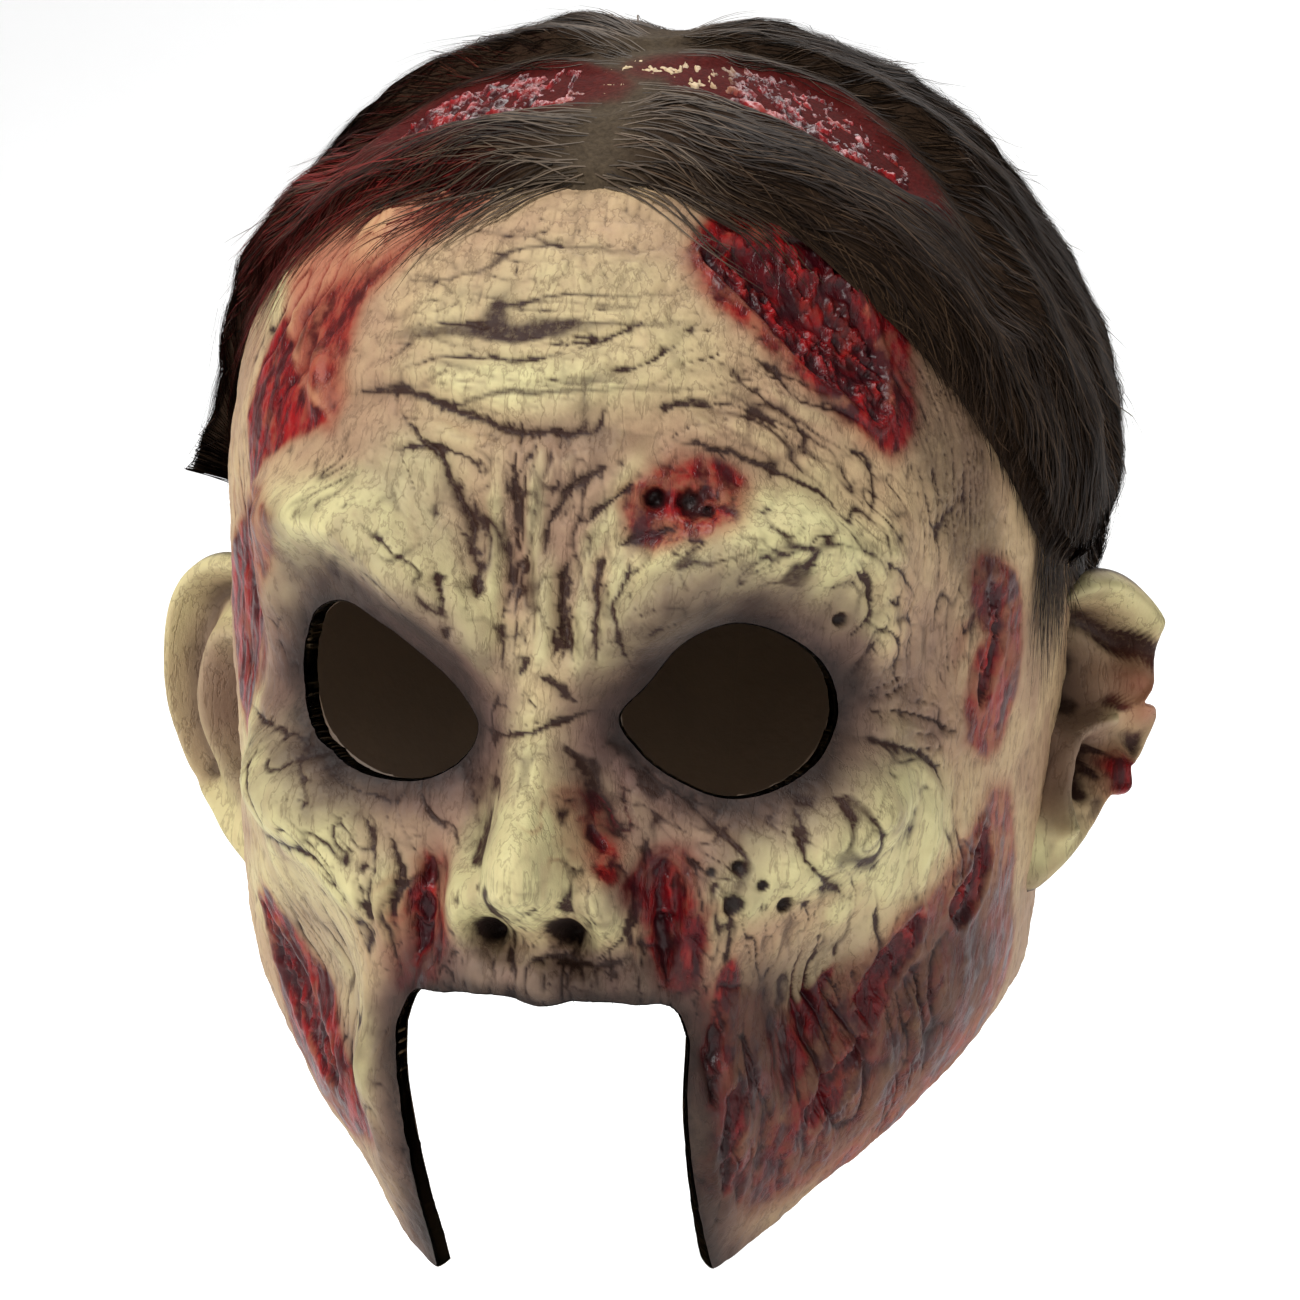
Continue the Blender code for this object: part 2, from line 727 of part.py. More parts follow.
def hair(name, side, collection, finish):
    """Half of the hair: a closed pad that follows the scalp from the parting to the hairline."""
    turns = np.linspace(0, math.pi, HAIR_COLUMNS + 1)
    line = smooth(np.radians(column(HAIRLINE, 0)), column(HAIRLINE, 1 if side > 0 else 2), turns)
    last = fall_of(-line * MASK_HEIGHT)
    share = np.linspace(0, 1, HAIR_ROWS + 1)[1:]
    grid_turn = side * np.broadcast_to(turns, (len(share), len(turns)))
    grid_fall = share[:, None] * last
    scalp = skin_point(grid_turn, grid_fall, 0.0)
    edge = scalp[..., 2] + line * MASK_HEIGHT
    thick = hair_thickness(grid_turn, scalp, edge)
    under = skin_point(grid_turn, grid_fall, HAIR_GAP)
    over = skin_point(grid_turn, grid_fall, HAIR_GAP + thick)
    shift = np.array([side * PARTING_GAP / 2, 0, 0])
    crown = np.array([0, WIDEST_BACK, WALL + HAIR_GAP])
    up = np.array([0, 0, HAIR_PARTING])
    points = np.vstack([crown, under.reshape(-1, 3), crown + up, over.reshape(-1, 3)]) + shift
    columns = len(turns)
    half = 1 + columns * len(share)
    faces = []
    for base in (0, half):
        faces += [(base, base + 1 + j, base + 2 + j) for j in range(columns - 1)]
        for i in range(len(share) - 1):
            for j in range(columns - 1):
                a = base + 1 + i * columns + j
                faces.append((a, a + 1, a + 1 + columns, a + columns))
    front = [0] + [1 + i * columns for i in range(len(share))]
    back = [0] + [columns + i * columns for i in range(len(share))]
    rim = [half - columns + j for j in range(columns)]
    for line in (front, back, rim):
        faces += [(a, b, b + half, a + half) for a, b in zip(line, line[1:])]
    return mesh_object(name, points, faces, collection, finish)


def slit_cutter(row, cutters):
    """An egg-shaped cutter that opens a bare slit in the hair."""
    name = row[0]
    middle, size = slit_place(row)
    mesh = bpy.data.meshes.new(name)
    edit = bmesh.new()
    bmesh.ops.create_uvsphere(edit, u_segments=16, v_segments=8, radius=METRES / 2)
    bmesh.ops.scale(edit, vec=tuple(size), verts=edit.verts)
    edit.to_mesh(mesh)
    edit.free()
    item = bpy.data.objects.new(name, mesh)
    cutters.objects.link(item)
    item.location = tuple(middle * METRES)
    item.rotation_euler = (0, 0, math.radians(row[6]))
    return as_helper(item)


def build():
    clear_scene()
    parts = new_collection("zombie_mask")
    cutters = new_collection("cutters")
    latex = material("latex", (0.45, 0.36, 0.22), 0.55)
    fur = material("hair", (0.030, 0.020, 0.014), 0.6)

    skin = head_loft("mask_skin", 0.0, parts, latex)
    wall = skin.modifiers.new("wall", "SOLIDIFY")
    wall.thickness = WALL * METRES
    wall.offset = -1
    ears_on(skin, cutters)
    for side in (1, -1):
        combine(skin, eye_cutter(side, cutters), "DIFFERENCE")
    combine(skin, mouth_cutter(cutters), "DIFFERENCE")
    combine(skin, jaw_cutter(cutters), "DIFFERENCE")

    halves = (hair("hair_right", -1, parts, fur), hair("hair_left", 1, parts, fur))
    for half, row in zip(halves, SLITS):
        combine(half, slit_cutter(row, cutters), "DIFFERENCE")


build()
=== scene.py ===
# %% [markdown]
# A zombie mask: one skin of cast latex that goes over the whole head, with both ears, two eye holes
# and an open mouth and chin, and combed hair glued to its scalp in two halves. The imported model
# comes first. Every piece below takes its place from it or from the same sizes, in millimetres.

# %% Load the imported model
import bpy
import math
import numpy as np
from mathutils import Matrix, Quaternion, Vector
from mathutils.bvhtree import BVHTree


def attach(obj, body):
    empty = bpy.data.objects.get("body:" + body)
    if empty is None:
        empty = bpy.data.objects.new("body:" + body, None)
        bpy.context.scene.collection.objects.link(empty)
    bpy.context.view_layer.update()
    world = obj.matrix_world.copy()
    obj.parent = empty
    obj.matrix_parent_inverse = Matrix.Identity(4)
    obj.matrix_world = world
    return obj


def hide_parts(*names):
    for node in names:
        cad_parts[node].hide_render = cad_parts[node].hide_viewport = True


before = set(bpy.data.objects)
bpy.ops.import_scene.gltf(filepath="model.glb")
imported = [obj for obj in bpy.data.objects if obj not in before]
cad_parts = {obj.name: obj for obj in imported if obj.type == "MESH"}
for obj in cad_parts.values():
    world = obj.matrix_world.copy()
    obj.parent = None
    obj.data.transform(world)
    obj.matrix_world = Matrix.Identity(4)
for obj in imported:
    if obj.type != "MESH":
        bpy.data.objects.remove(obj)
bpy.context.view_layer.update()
METRES = 0.001

# %% [markdown]
# The head that the latex is cast to is a plain egg: a dome on top, and below it sections that are
# shares of the named sizes. Face forms push out of it or into it. Writing the surface as a function
# of two numbers, the turn round the head and the fall from the crown, lets the skin, the wounds and
# the hair all lie on one surface without any fitting.

# %% Sizes of the cast head
HEAD_WIDTH, HEAD_FRONT, HEAD_BACK = 165.0, 97.0, 104.0
MASK_HEIGHT, DOME_HEIGHT, DOME_POWER = 240.0, 84.0, 2.05
WIDEST_BACK, BACK_ROUNDNESS = 8.0, 2.1
WALL, RELIEF = 2.2, 10.0
EYE_SPACING, EYE_DROP, EYE_WIDTH, EYE_HEIGHT = 64.5, 120.5, 38.0, 33.0
MOUTH_WIDTH, MOUTH_DROP, MOUTH_ARCH = 56.0, 179.5, 5.0
CHIN_RIGHT, CHIN_LEFT = 0.62, 1.08
NOSE_TOP, NOSE_TIP_DROP, NOSE_REACH, NOSE_WIDTH, NOSE_ROUND = 106.0, 152.0, 24.0, 36.0, 2.6
EAR_HEIGHT, EAR_WIDTH, EAR_DROP, EAR_TURN = 66.0, 34.0, 132.5, 84.0
EAR_LEAN, EAR_WALL, EAR_ROOT = 8.0, 3.2, 5.0
HAIR_GAP, HAIR_THICK, HAIR_PARTING, HAIR_EDGE = 0.9, 5.6, 2.2, 1.6
EDGE_BLEND, PARTING_BLEND = 16.0, 20.0
LOCK_RELIEF, LOCK_PITCH, LOCK_SWEEP = 0.9, 25.0, 0.5
SLIT_LENGTH = 44.0

HALF_HEAD = HEAD_WIDTH / 2
GIRTH_RADIUS = HEAD_FRONT + WIDEST_BACK
DOME_BASE = WALL - DOME_HEIGHT
ANCHORS = {
    "head": (0.0, 0.0, HALF_HEAD, MASK_HEIGHT),
    "eye": (EYE_SPACING / 2, EYE_DROP, EYE_WIDTH, EYE_HEIGHT),
    "mouth": (0.0, MOUTH_DROP, MOUTH_WIDTH / 2, MOUTH_DROP - NOSE_TIP_DROP),
}
SECTIONS = (  # drop, width, front, back, roundness
    (0.30, 1.000, 1.000, 1.000, 2.30), (0.42, 0.995, 1.000, 0.985, 2.30),
    (0.50, 0.975, 0.990, 0.950, 2.30), (0.58, 0.950, 0.975, 0.895, 2.30),
    (0.67, 0.930, 0.970, 0.830, 2.25), (0.75, 0.895, 0.965, 0.765, 2.20),
    (0.83, 0.775, 0.945, 0.720, 2.15), (0.92, 0.575, 0.900, 0.690, 2.10),
    (1.00, 0.440, 0.820, 0.680, 2.05), (1.06, 0.360, 0.730, 0.670, 2.00),
)
FORMS = (  # anchor, across, drop, wide, tall, tilt, push, pair
    ("eye", -0.26, -0.62, 0.46, 0.22, -38, 1.15, True),
    ("eye", 0.37, -0.96, 0.52, 0.23, 0, 0.95, True),
    ("eye", 0.88, -0.56, 0.26, 0.40, 0, 0.40, True),
    ("eye", 0.06, 0.00, 0.52, 0.36, -12, -1.15, True),
    ("eye", 0.67, 0.64, 0.52, 0.31, -22, 1.00, True),
    ("head", 0.00, 0.440, 0.16, 0.045, 0, 0.35, False),
    ("head", 0.45, 0.655, 0.16, 0.035, -20, 0.40, True),
    ("head", 0.76, 0.740, 0.28, 0.060, 0, -0.85, True),
    ("mouth", 0.00, -0.30, 0.77, 0.22, 0, 0.45, False),
    ("mouth", 1.24, 0.51, 0.41, 0.86, -6, 0.45, True),
    ("head", 1.02, 0.450, 0.24, 0.090, 0, -0.35, True),
    ("head", 0.24, 0.300, 0.36, 0.070, 0, 0.25, True),
    ("head", 0.62, 0.195, 0.28, 0.028, 31, -0.35, False),
    ("head", -0.78, 0.230, 0.26, 0.060, 0, -0.18, False),
)
FOLDS = (  # anchor, from across, from drop, to across, to drop, half width, depth
    ("mouth", 0.68, -0.94, 1.18, 0.17, 0.50, 0.34),
    ("mouth", -0.68, -0.94, -1.18, 0.17, 0.50, 0.34),
    ("head", 0.09, 0.380, 0.07, 0.455, 0.32, 0.18),
    ("head", -0.09, 0.380, -0.07, 0.455, 0.32, 0.18),
    ("head", -0.56, 0.275, -0.04, 0.298, 0.36, 0.16),
    ("head", 0.04, 0.298, 0.36, 0.275, 0.36, 0.14),
    ("head", 0.23, 0.300, 0.70, 0.355, 0.36, 0.16),
    ("head", 0.62, 0.830, 0.80, 0.720, 0.60, 0.22),
    ("head", -0.66, 0.740, -0.52, 0.850, 0.60, 0.22),
)
NOSE = (  # along, reach, half width
    (0.00, 0.00, 0.34), (0.22, 0.20, 0.31), (0.50, 0.44, 0.25), (0.74, 0.74, 0.23),
    (0.92, 0.98, 0.25), (1.03, 1.00, 0.26), (1.14, 0.66, 0.26), (1.24, 0.16, 0.26),
    (1.34, 0.00, 0.26),
)
NOSE_SIDES = (  # across, below, wide, tall, reach
    (0.40, 0.11, 0.14, 0.23, 0.46),
    (0.21, 0.29, 0.11, 0.11, -0.25),
)


# %% The surface of the cast head
def column(rows, index):
    return np.array([row[index] for row in rows], float)


def smooth(at, value, where):
    """Cubic curve through the points, level at its peaks, read at where."""
    step = np.diff(value) / np.diff(at)
    inner = np.where(step[:-1] * step[1:] > 0, (step[:-1] + step[1:]) / 2, 0.0)
    slope = np.concatenate([step[:1], inner, step[-1:]])
    where = np.clip(where, at[0], at[-1])
    left = np.clip(np.searchsorted(at, where, side="right") - 1, 0, len(at) - 2)
    width = at[left + 1] - at[left]
    part = (where - at[left]) / width
    rise = part * part * (3 - 2 * part)
    start = part * (1 - part) ** 2 * width * slope[left]
    end = part * part * (1 - part) * width * slope[left + 1]
    return value[left] * (1 - rise) + value[left + 1] * rise + start - end


BOTTOM = -SECTIONS[-1][0] * MASK_HEIGHT
DROPS = column(SECTIONS, 0)
DROPS[0] = -DOME_BASE / MASK_HEIGHT


def head_point(turn, fall):
    """Plain head: turn in radians from the nose, fall 0 at the crown, 1 at the dome's foot."""
    fall = np.asarray(fall, float)
    angle = np.clip(fall, 0, 1) * math.pi / 2
    shrink = np.sin(angle) ** (2 / DOME_POWER)
    dome = DOME_BASE + DOME_HEIGHT * np.cos(angle) ** (2 / DOME_POWER)
    height = np.where(fall > 1, DOME_BASE + (BOTTOM - DOME_BASE) * (fall - 1), dome)
    drop = -height / MASK_HEIGHT
    half = HALF_HEAD * smooth(DROPS, column(SECTIONS, 1), drop) * shrink
    front = (HEAD_FRONT * smooth(DROPS, column(SECTIONS, 2), drop) + WIDEST_BACK) * shrink
    back = (HEAD_BACK * smooth(DROPS, column(SECTIONS, 3), drop) - WIDEST_BACK) * shrink
    ahead = np.cos(turn) > 0
    power = np.where(ahead, smooth(DROPS, column(SECTIONS, 4), drop), BACK_ROUNDNESS)
    reach = np.maximum(np.where(ahead, front, back), 1e-6)
    side = np.abs(np.sin(turn)) / np.maximum(half, 1e-6)
    radius = 1 / (side ** power + (np.abs(np.cos(turn)) / reach) ** power) ** (1 / power)
    radius = np.where(half < 1e-5, 0, radius)
    return np.stack([radius * np.sin(turn), WIDEST_BACK - radius * np.cos(turn), height], -1)


def head_normal(turn, fall):
    tiny = 1e-3
    fall = np.maximum(fall, 2 * tiny)
    along = head_point(turn + tiny, fall) - head_point(turn - tiny, fall)
    down = head_point(turn, fall + tiny) - head_point(turn, fall - tiny)
    normal = np.cross(down, along)
    return normal / np.linalg.norm(normal, axis=-1, keepdims=True)


def anchored(anchor, across, drop):
    middle, level, wide, tall = ANCHORS[anchor]
    return np.array([middle + across * wide, level + drop * tall])


def face_relief(turn, height):
    """How far the cast forms and folds stand out from the plain head."""
    across, down = turn * GIRTH_RADIUS, -height
    push = np.zeros(np.broadcast(turn, height).shape)
    for anchor, middle, drop, wide, tall, tilt, share, pair in FORMS:
        x0, z0 = anchored(anchor, middle, drop)
        wide, tall = wide * ANCHORS[anchor][2], tall * ANCHORS[anchor][3]
        for side in (1, -1) if pair else (1,):
            lean = math.radians(side * tilt)
            x, z = across - side * x0, down - z0
            u = (x * math.cos(lean) + z * math.sin(lean)) / wide
            v = (z * math.cos(lean) - x * math.sin(lean)) / tall
            push = push + share * RELIEF * np.exp(-u * u - v * v)
    for anchor, x0, z0, x1, z1, half, depth in FOLDS:
        start = anchored(anchor, x0, z0)
        run = anchored(anchor, x1, z1) - start
        part = ((across - start[0]) * run[0] + (down - start[1]) * run[1]) / (run @ run)
        part = np.clip(part, 0, 1)
        off = np.hypot(across - start[0] - part * run[0], down - start[1] - part * run[1])
        push = push - depth * RELIEF * np.exp(-(off / (half * RELIEF)) ** 2)
    return push


def nose_reach(turn, height):
    across = np.abs(turn * GIRTH_RADIUS) / NOSE_WIDTH
    along = (-height - NOSE_TOP) / (NOSE_TIP_DROP - NOSE_TOP)
    ridge = smooth(column(NOSE, 0), column(NOSE, 1), along)
    spread = smooth(column(NOSE, 0), column(NOSE, 2), along)
    reach = ridge * np.exp(-(across / spread) ** NOSE_ROUND)
    below = (-height - NOSE_TIP_DROP) / NOSE_WIDTH
    for middle, low, wide, tall, share in NOSE_SIDES:
        reach = reach + share * np.exp(-((across - middle) / wide) ** 2
                                       - ((below - low) / tall) ** 2)
    return NOSE_REACH * reach


def skin_point(turn, fall, lift=0.0):
    """A point of the cast skin, lifted this far off it."""
    turn, fall = np.asarray(turn, float), np.asarray(fall, float)
    plain = head_point(turn, fall)
    push = face_relief(turn, plain[..., 2]) + lift
    point = plain + head_normal(turn, fall) * np.asarray(push)[..., None]
    point[..., 1] -= nose_reach(turn, plain[..., 2])
    return point


def fall_of(height):
    height = np.asarray(height, float)
    below = 1 + (height - DOME_BASE) / (BOTTOM - DOME_BASE)
    share = np.clip((height - DOME_BASE) / DOME_HEIGHT, 0, 1)
    dome = np.arccos(share ** (DOME_POWER / 2)) * 2 / math.pi
    return np.where(height < DOME_BASE, below, dome)


print("crown at", skin_point(0.0, 0.0).round(2), "nose tip at",
      skin_point(0.0, fall_of(-NOSE_TIP_DROP)).round(1))

# %% [markdown]
# The camera stands where the photographer stood: a little to the wearer's left, a little above the
# eyes, with a long lens and a slight roll. It comes early, because marks on the skin are placed by
# where they are seen in the picture: a ray from the camera meets the cast surface there.

# %% Camera
PICTURE = 1300
VIEW_TURN, VIEW_RISE, VIEW_ROLL = 11.5, 5.0, 2.0
VIEW_DISTANCE, VIEW_SCALE = 1.3, 5.05
AIM = Vector((0, 0, -0.118))

a, e = math.radians(VIEW_TURN), math.radians(VIEW_RISE)
backward = Vector((math.sin(a) * math.cos(e), -math.cos(a) * math.cos(e), math.sin(e)))
camera_data = bpy.data.cameras.new("camera")
camera = bpy.data.objects.new("camera", camera_data)
bpy.context.scene.collection.objects.link(camera)
bpy.context.scene.camera = camera
view_turn = (-backward).to_track_quat("-Z", "Y") @ Quaternion((0, 0, 1), math.radians(VIEW_ROLL))
camera.rotation_mode = "QUATERNION"
camera.rotation_quaternion = view_turn
camera.location = AIM + backward * VIEW_DISTANCE
FOCAL = VIEW_SCALE * VIEW_DISTANCE / METRES
camera_data.sensor_width = 36.0
camera_data.lens = FOCAL * camera_data.sensor_width / PICTURE
camera_data.dof.use_dof = False
print("lens", round(camera_data.lens, 1), "mm, camera at", tuple(round(v, 3) for v in camera.location))

# %% From a place in the picture to a place on the skin
CAST_TURNS = np.linspace(-math.pi, math.pi, 241)
CAST_FALLS = np.linspace(0.01, 2.0, 300)
cast_points = skin_point(*np.meshgrid(CAST_TURNS, CAST_FALLS)) * METRES
rows, columns = cast_points.shape[:2]
cast_faces = [(i * columns + j, (i + 1) * columns + j, (i + 1) * columns + j + 1, i * columns + j + 1)
              for i in range(rows - 1) for j in range(columns - 1)]
cast_tree = BVHTree.FromPolygons([tuple(p) for p in cast_points.reshape(-1, 3)], cast_faces)

# Arc length down the middle of the face gives a plane in which marks keep their size
PROFILE_FALLS = np.linspace(0, 2, 800)
profile = head_point(np.zeros(800), PROFILE_FALLS)
PROFILE = np.concatenate([[0], np.cumsum(np.linalg.norm(np.diff(profile, axis=0), axis=1))])


def laid(turn, fall):
    """Turn and fall laid flat: millimetres to the wearer's left and down from the crown."""
    return np.stack([np.asarray(turn) * GIRTH_RADIUS, np.interp(fall, PROFILE_FALLS, PROFILE)], -1)


def pinned(spots):
    """Places on the laid-out skin that the camera sees at these places in the picture."""
    found = []
    for u, v in spots:
        ray = view_turn @ Vector(((u - PICTURE / 2) / FOCAL, -(v - PICTURE / 2) / FOCAL, -1))
        hit, _, index, _ = cast_tree.ray_cast(camera.location, ray.normalized())
        if hit is None:
            continue
        i, j = divmod(index, columns - 1)
        corner = cast_points[i, j]
        frame_2d = np.stack([cast_points[i, j + 1] - corner, cast_points[i + 1, j] - corner], -1)
        share = np.linalg.lstsq(frame_2d, np.array(hit) - corner, rcond=None)[0]
        found.append(laid(CAST_TURNS[j] + share[0] * (CAST_TURNS[1] - CAST_TURNS[0]),
                          CAST_FALLS[i] + share[1] * (CAST_FALLS[1] - CAST_FALLS[0])))
    return np.array(found)


def rounded(points, steps=4, closed=False):
    """A smooth line through the points."""
    points = np.array(points, float)
    count = len(points)
    line = []
    for i in range(count if closed else count - 1):
        if closed:
            before, here, there, after = (points[(i + k) % count] for k in (-1, 0, 1, 2))
        else:
            before, here, there, after = (points[min(max(i + k, 0), count - 1)]
                                          for k in (-1, 0, 1, 2))
        for k in range(steps):
            t = k / steps
            line.append(0.5 * (2 * here + (there - before) * t
                               + (2 * before - 5 * here + 4 * there - after) * t * t
                               + (3 * here - before - 3 * there + after) * t ** 3))
    if not closed:
        line.append(points[-1])
    return np.array(line)


print("the nose tip is laid at", pinned([(520, 890)]).round(1))

# %% [markdown]
# Real latex carries sculpted pores, wrinkles and wounds that are too fine for the cast form. They
# could be a picture laid over a plain surface, but real depth catches the light at the edges, so
# the skin here is a fine net, close where the face is and open at the back, and every crease and
# wound moves its points and colours them at the same time: blood and stain, and painted shade in
# their beds.

# %% The fine net over the head
def spread(stops):
    """Values between the stops at the spacing given for each stretch."""
    line = [stops[0][0]]
    for (start, _), (end, spacing) in zip(stops, stops[1:]):
        count = max(1, round(abs(end - start) / spacing))
        line += list(np.linspace(start, end, count + 1)[1:])
    return np.array(line)


turn_stops = [(-180, 0), (-104, 3.4), (-72, 0.62), (-56, 0.36),
              (56, 0.272), (72, 0.36), (104, 0.62), (180, 3.4)]
NET_TURNS = np.radians(spread(turn_stops))
length_stops = [(2.0, 0), (40.0, 3.0), (78.0, 1.1), (140.0, 0.58),
                (250.0, 0.50), (float(PROFILE[-1]), 0.62)]
NET_LENGTHS = spread(length_stops)
NET_FALLS = np.interp(NET_LENGTHS, PROFILE, PROFILE_FALLS)
ACROSS = NET_TURNS * GIRTH_RADIUS
turn_grid, fall_grid = np.meshgrid(NET_TURNS, NET_FALLS)
across_grid, length_grid = np.meshgrid(ACROSS, NET_LENGTHS)
base = skin_point(turn_grid, fall_grid)
normal = head_normal(turn_grid, fall_grid)
height_grid = head_point(turn_grid, fall_grid)[..., 2]
forms = face_relief(turn_grid, height_grid)
print("net of", base.shape[:2], "points, face spacing about",
      round(float(ACROSS[len(ACROSS) // 2 + 1] - ACROSS[len(ACROSS) // 2]), 2), "mm")


# %% Noise that is the same every time
def lattice(ix, iy, iz, seed):
    """A repeatable number from 0 to 1 for each cell of a lattice."""
    mix = (ix * 374761393 + iy * 668265263 + iz * 2147483647 + seed * 1274126177) & 0xFFFFFFFF
    mix = ((mix ^ (mix >> 13)) * 1274126177) & 0xFFFFFFFF
    mix = ((mix ^ (mix >> 16)) * 2246822519) & 0xFFFFFFFF
    return ((mix ^ (mix >> 15)) & 0xFFFFFF) / float(0xFFFFFF)


def noise(points, size, seed):
    """Smooth noise from -1 to 1 with lumps of about this size in millimetres."""
    at = points / size
    cell = np.floor(at).astype(np.int64)
    t = at - cell
    t = t * t * (3 - 2 * t)
    total = np.zeros(points.shape[:-1])
    for dx in (0, 1):
        for dy in (0, 1):
            for dz in (0, 1):
                weight = (np.where(dx, t[..., 0], 1 - t[..., 0])
                          * np.where(dy, t[..., 1], 1 - t[..., 1])
                          * np.where(dz, t[..., 2], 1 - t[..., 2]))
                total += weight * lattice(cell[..., 0] + dx, cell[..., 1] + dy,
                                          cell[..., 2] + dz, seed)
    return total * 2 - 1


def rough(points, size, seed, layers=3):
    total = np.zeros(points.shape[:-1])
    for k in range(layers):
        total += noise(points, size / 2 ** k, seed + k) / 2 ** k
    return total


# %% Layers that every mark works on
push = np.zeros(base.shape[:2])      # out of the cast surface, in millimetres
layers = {name: np.zeros(base.shape[:2]) for name in
          ("wash", "blood", "raw", "pale", "bruise", "soot")}
WARP = np.stack([rough(base, 9.0, 11), rough(base, 9.0, 31)], -1)


def off_stretch(x, y, start, end):
    """Distance from places to a straight stretch, and how far along it the nearest place is."""
    (x0, y0), (x1, y1) = start, end
    share = ((x - x0) * (x1 - x0) + (y - y0) * (y1 - y0)) / ((x1 - x0) ** 2 + (y1 - y0) ** 2 + 1e-9)
    share = np.clip(share, 0, 1)
    return np.hypot(x - x0 - share * (x1 - x0), y - y0 - share * (y1 - y0)), share


def inside_by(x, y, outline):
    """Signed distance to a closed outline, positive inside it."""
    best = np.full(x.shape, 1e9)
    odd = np.zeros(x.shape, bool)
    for start, end in zip(outline, np.roll(outline, -1, axis=0)):
        best = np.minimum(best, off_stretch(x, y, start, end)[0])
        (x0, y0), (x1, y1) = start, end
        if abs(y1 - y0) > 1e-9:
            odd ^= ((y0 > y) != (y1 > y)) & (x < x0 + (y - y0) / (y1 - y0) * (x1 - x0))
    return np.where(odd, best, -best)


def around(points, margin):
    """Rows and columns of the net near these laid-out points."""
    low, high = points.min(0) - margin, points.max(0) + margin
    c0, c1 = np.searchsorted(ACROSS, [low[0], high[0]])
    r0, r1 = np.searchsorted(NET_LENGTHS, [low[1], high[1]])
    return slice(r0, r1), slice(c0, c1)


WOBBLE = np.stack([rough(base, 3.0, 21), rough(base, 3.0, 25)], -1)


def reach_to(line, where):
    """Distance from the net's points to a line, and how far along it, 0 to 1."""
    x = across_grid[where] + 0.38 * WOBBLE[..., 0][where]
    y = length_grid[where] + 0.38 * WOBBLE[..., 1][where]
    best = np.full(x.shape, 1e9)
    along = np.zeros(x.shape)
    lengths = np.linalg.norm(np.diff(line, axis=0), axis=1)
    walked, total = 0.0, max(lengths.sum(), 1e-6)
    for start, end, length in zip(line, line[1:], lengths):
        off, share = off_stretch(x, y, start, end)
        near = off < best
        best = np.where(near, off, best)
        along = np.where(near, (walked + share * length) / total, along)
        walked += length
    return best, along


def lay_mark(layer, where, share):
    """Lays a mark on one layer of the net, where it is not stronger already: paint, and on some layers
    painted shade and highlight as well.
    """
    layers[layer][where] = np.maximum(layers[layer][where], share)


def crease(line, half, depth, darkness):
    """Presses a crease into the skin: a sharp bed in a broad groove, with swollen sides."""
    line = np.asarray(line, float)
    if len(line) < 2:
        return
    where = around(line, 12 * half + 1)
    if across_grid[where].size == 0:
        return
    off, along = reach_to(line, where)
    taper = np.clip(np.minimum(along, 1 - along) * 4, 0.05, 1)
    width = 0.72 * half * (0.35 + 0.65 * taper) * (1 + 0.3 * WOBBLE[..., 1][where])
    bed = np.exp(-(off / width) ** 2)
    groove = np.exp(-(off / (3.4 * half)) ** 2)
    push[where] -= depth * taper * (0.62 * bed + 0.5 * groove)
    push[where] += 0.42 * depth * taper * np.exp(-((off - 5.0 * half) / (2.6 * half)) ** 2)
    # The bed is darkened with stain and painted shade, and the broad groove round it with a lighter painted
    # shade.
    bed_stain_and_shade = np.maximum(np.exp(-(off / (0.8 * width)) ** 2), 0.34 * groove)
    lay_mark("wash", where, darkness * np.sqrt(taper) * bed_stain_and_shade)


def swell(middle, wide, tall, tilt, high, edge=2.0):
    """Raises or sinks a rounded lump, its half sizes in millimetres."""
    middle = pinned([middle])
    if len(middle) == 0:
        return
    where = around(middle, 2.2 * max(wide, tall))
    x, y = across_grid[where] - middle[0, 0], length_grid[where] - middle[0, 1]
    lean = math.radians(tilt)
    u = (x * math.cos(lean) - y * math.sin(lean)) / wide
    v = (y * math.cos(lean) + x * math.sin(lean)) / tall
    off = np.hypot(u, v) * (1 + 0.10 * WARP[..., 0][where])
    lump = np.exp(-off ** edge)
    push[where] += high * lump
    # Tall lumps are made pale on top, partly as painted highlight.
    if high > 0.6:
        lay_mark("pale", where, 0.8 * lump)


def inside(outline, where):
    """How far inside a laid-out outline the net's points are, its edge made ragged."""
    return inside_by(across_grid[where] + 0.9 * WARP[..., 0][where],
                     length_grid[where] + 0.9 * WARP[..., 1][where], outline)


def soft(value, low, high):
    t = np.clip((value - low) / (high - low), 0, 1)
    return t * t * (3 - 2 * t)


# %% [markdown]
# The sculptor's marks are given where they are seen in the picture, as short lists of corners. Deep
# creases are lines, wounds and paint are outlines, and the hundreds of fine wrinkles come from
# patches with a direction, a length and a fixed seed, the way a sculptor rakes them in.

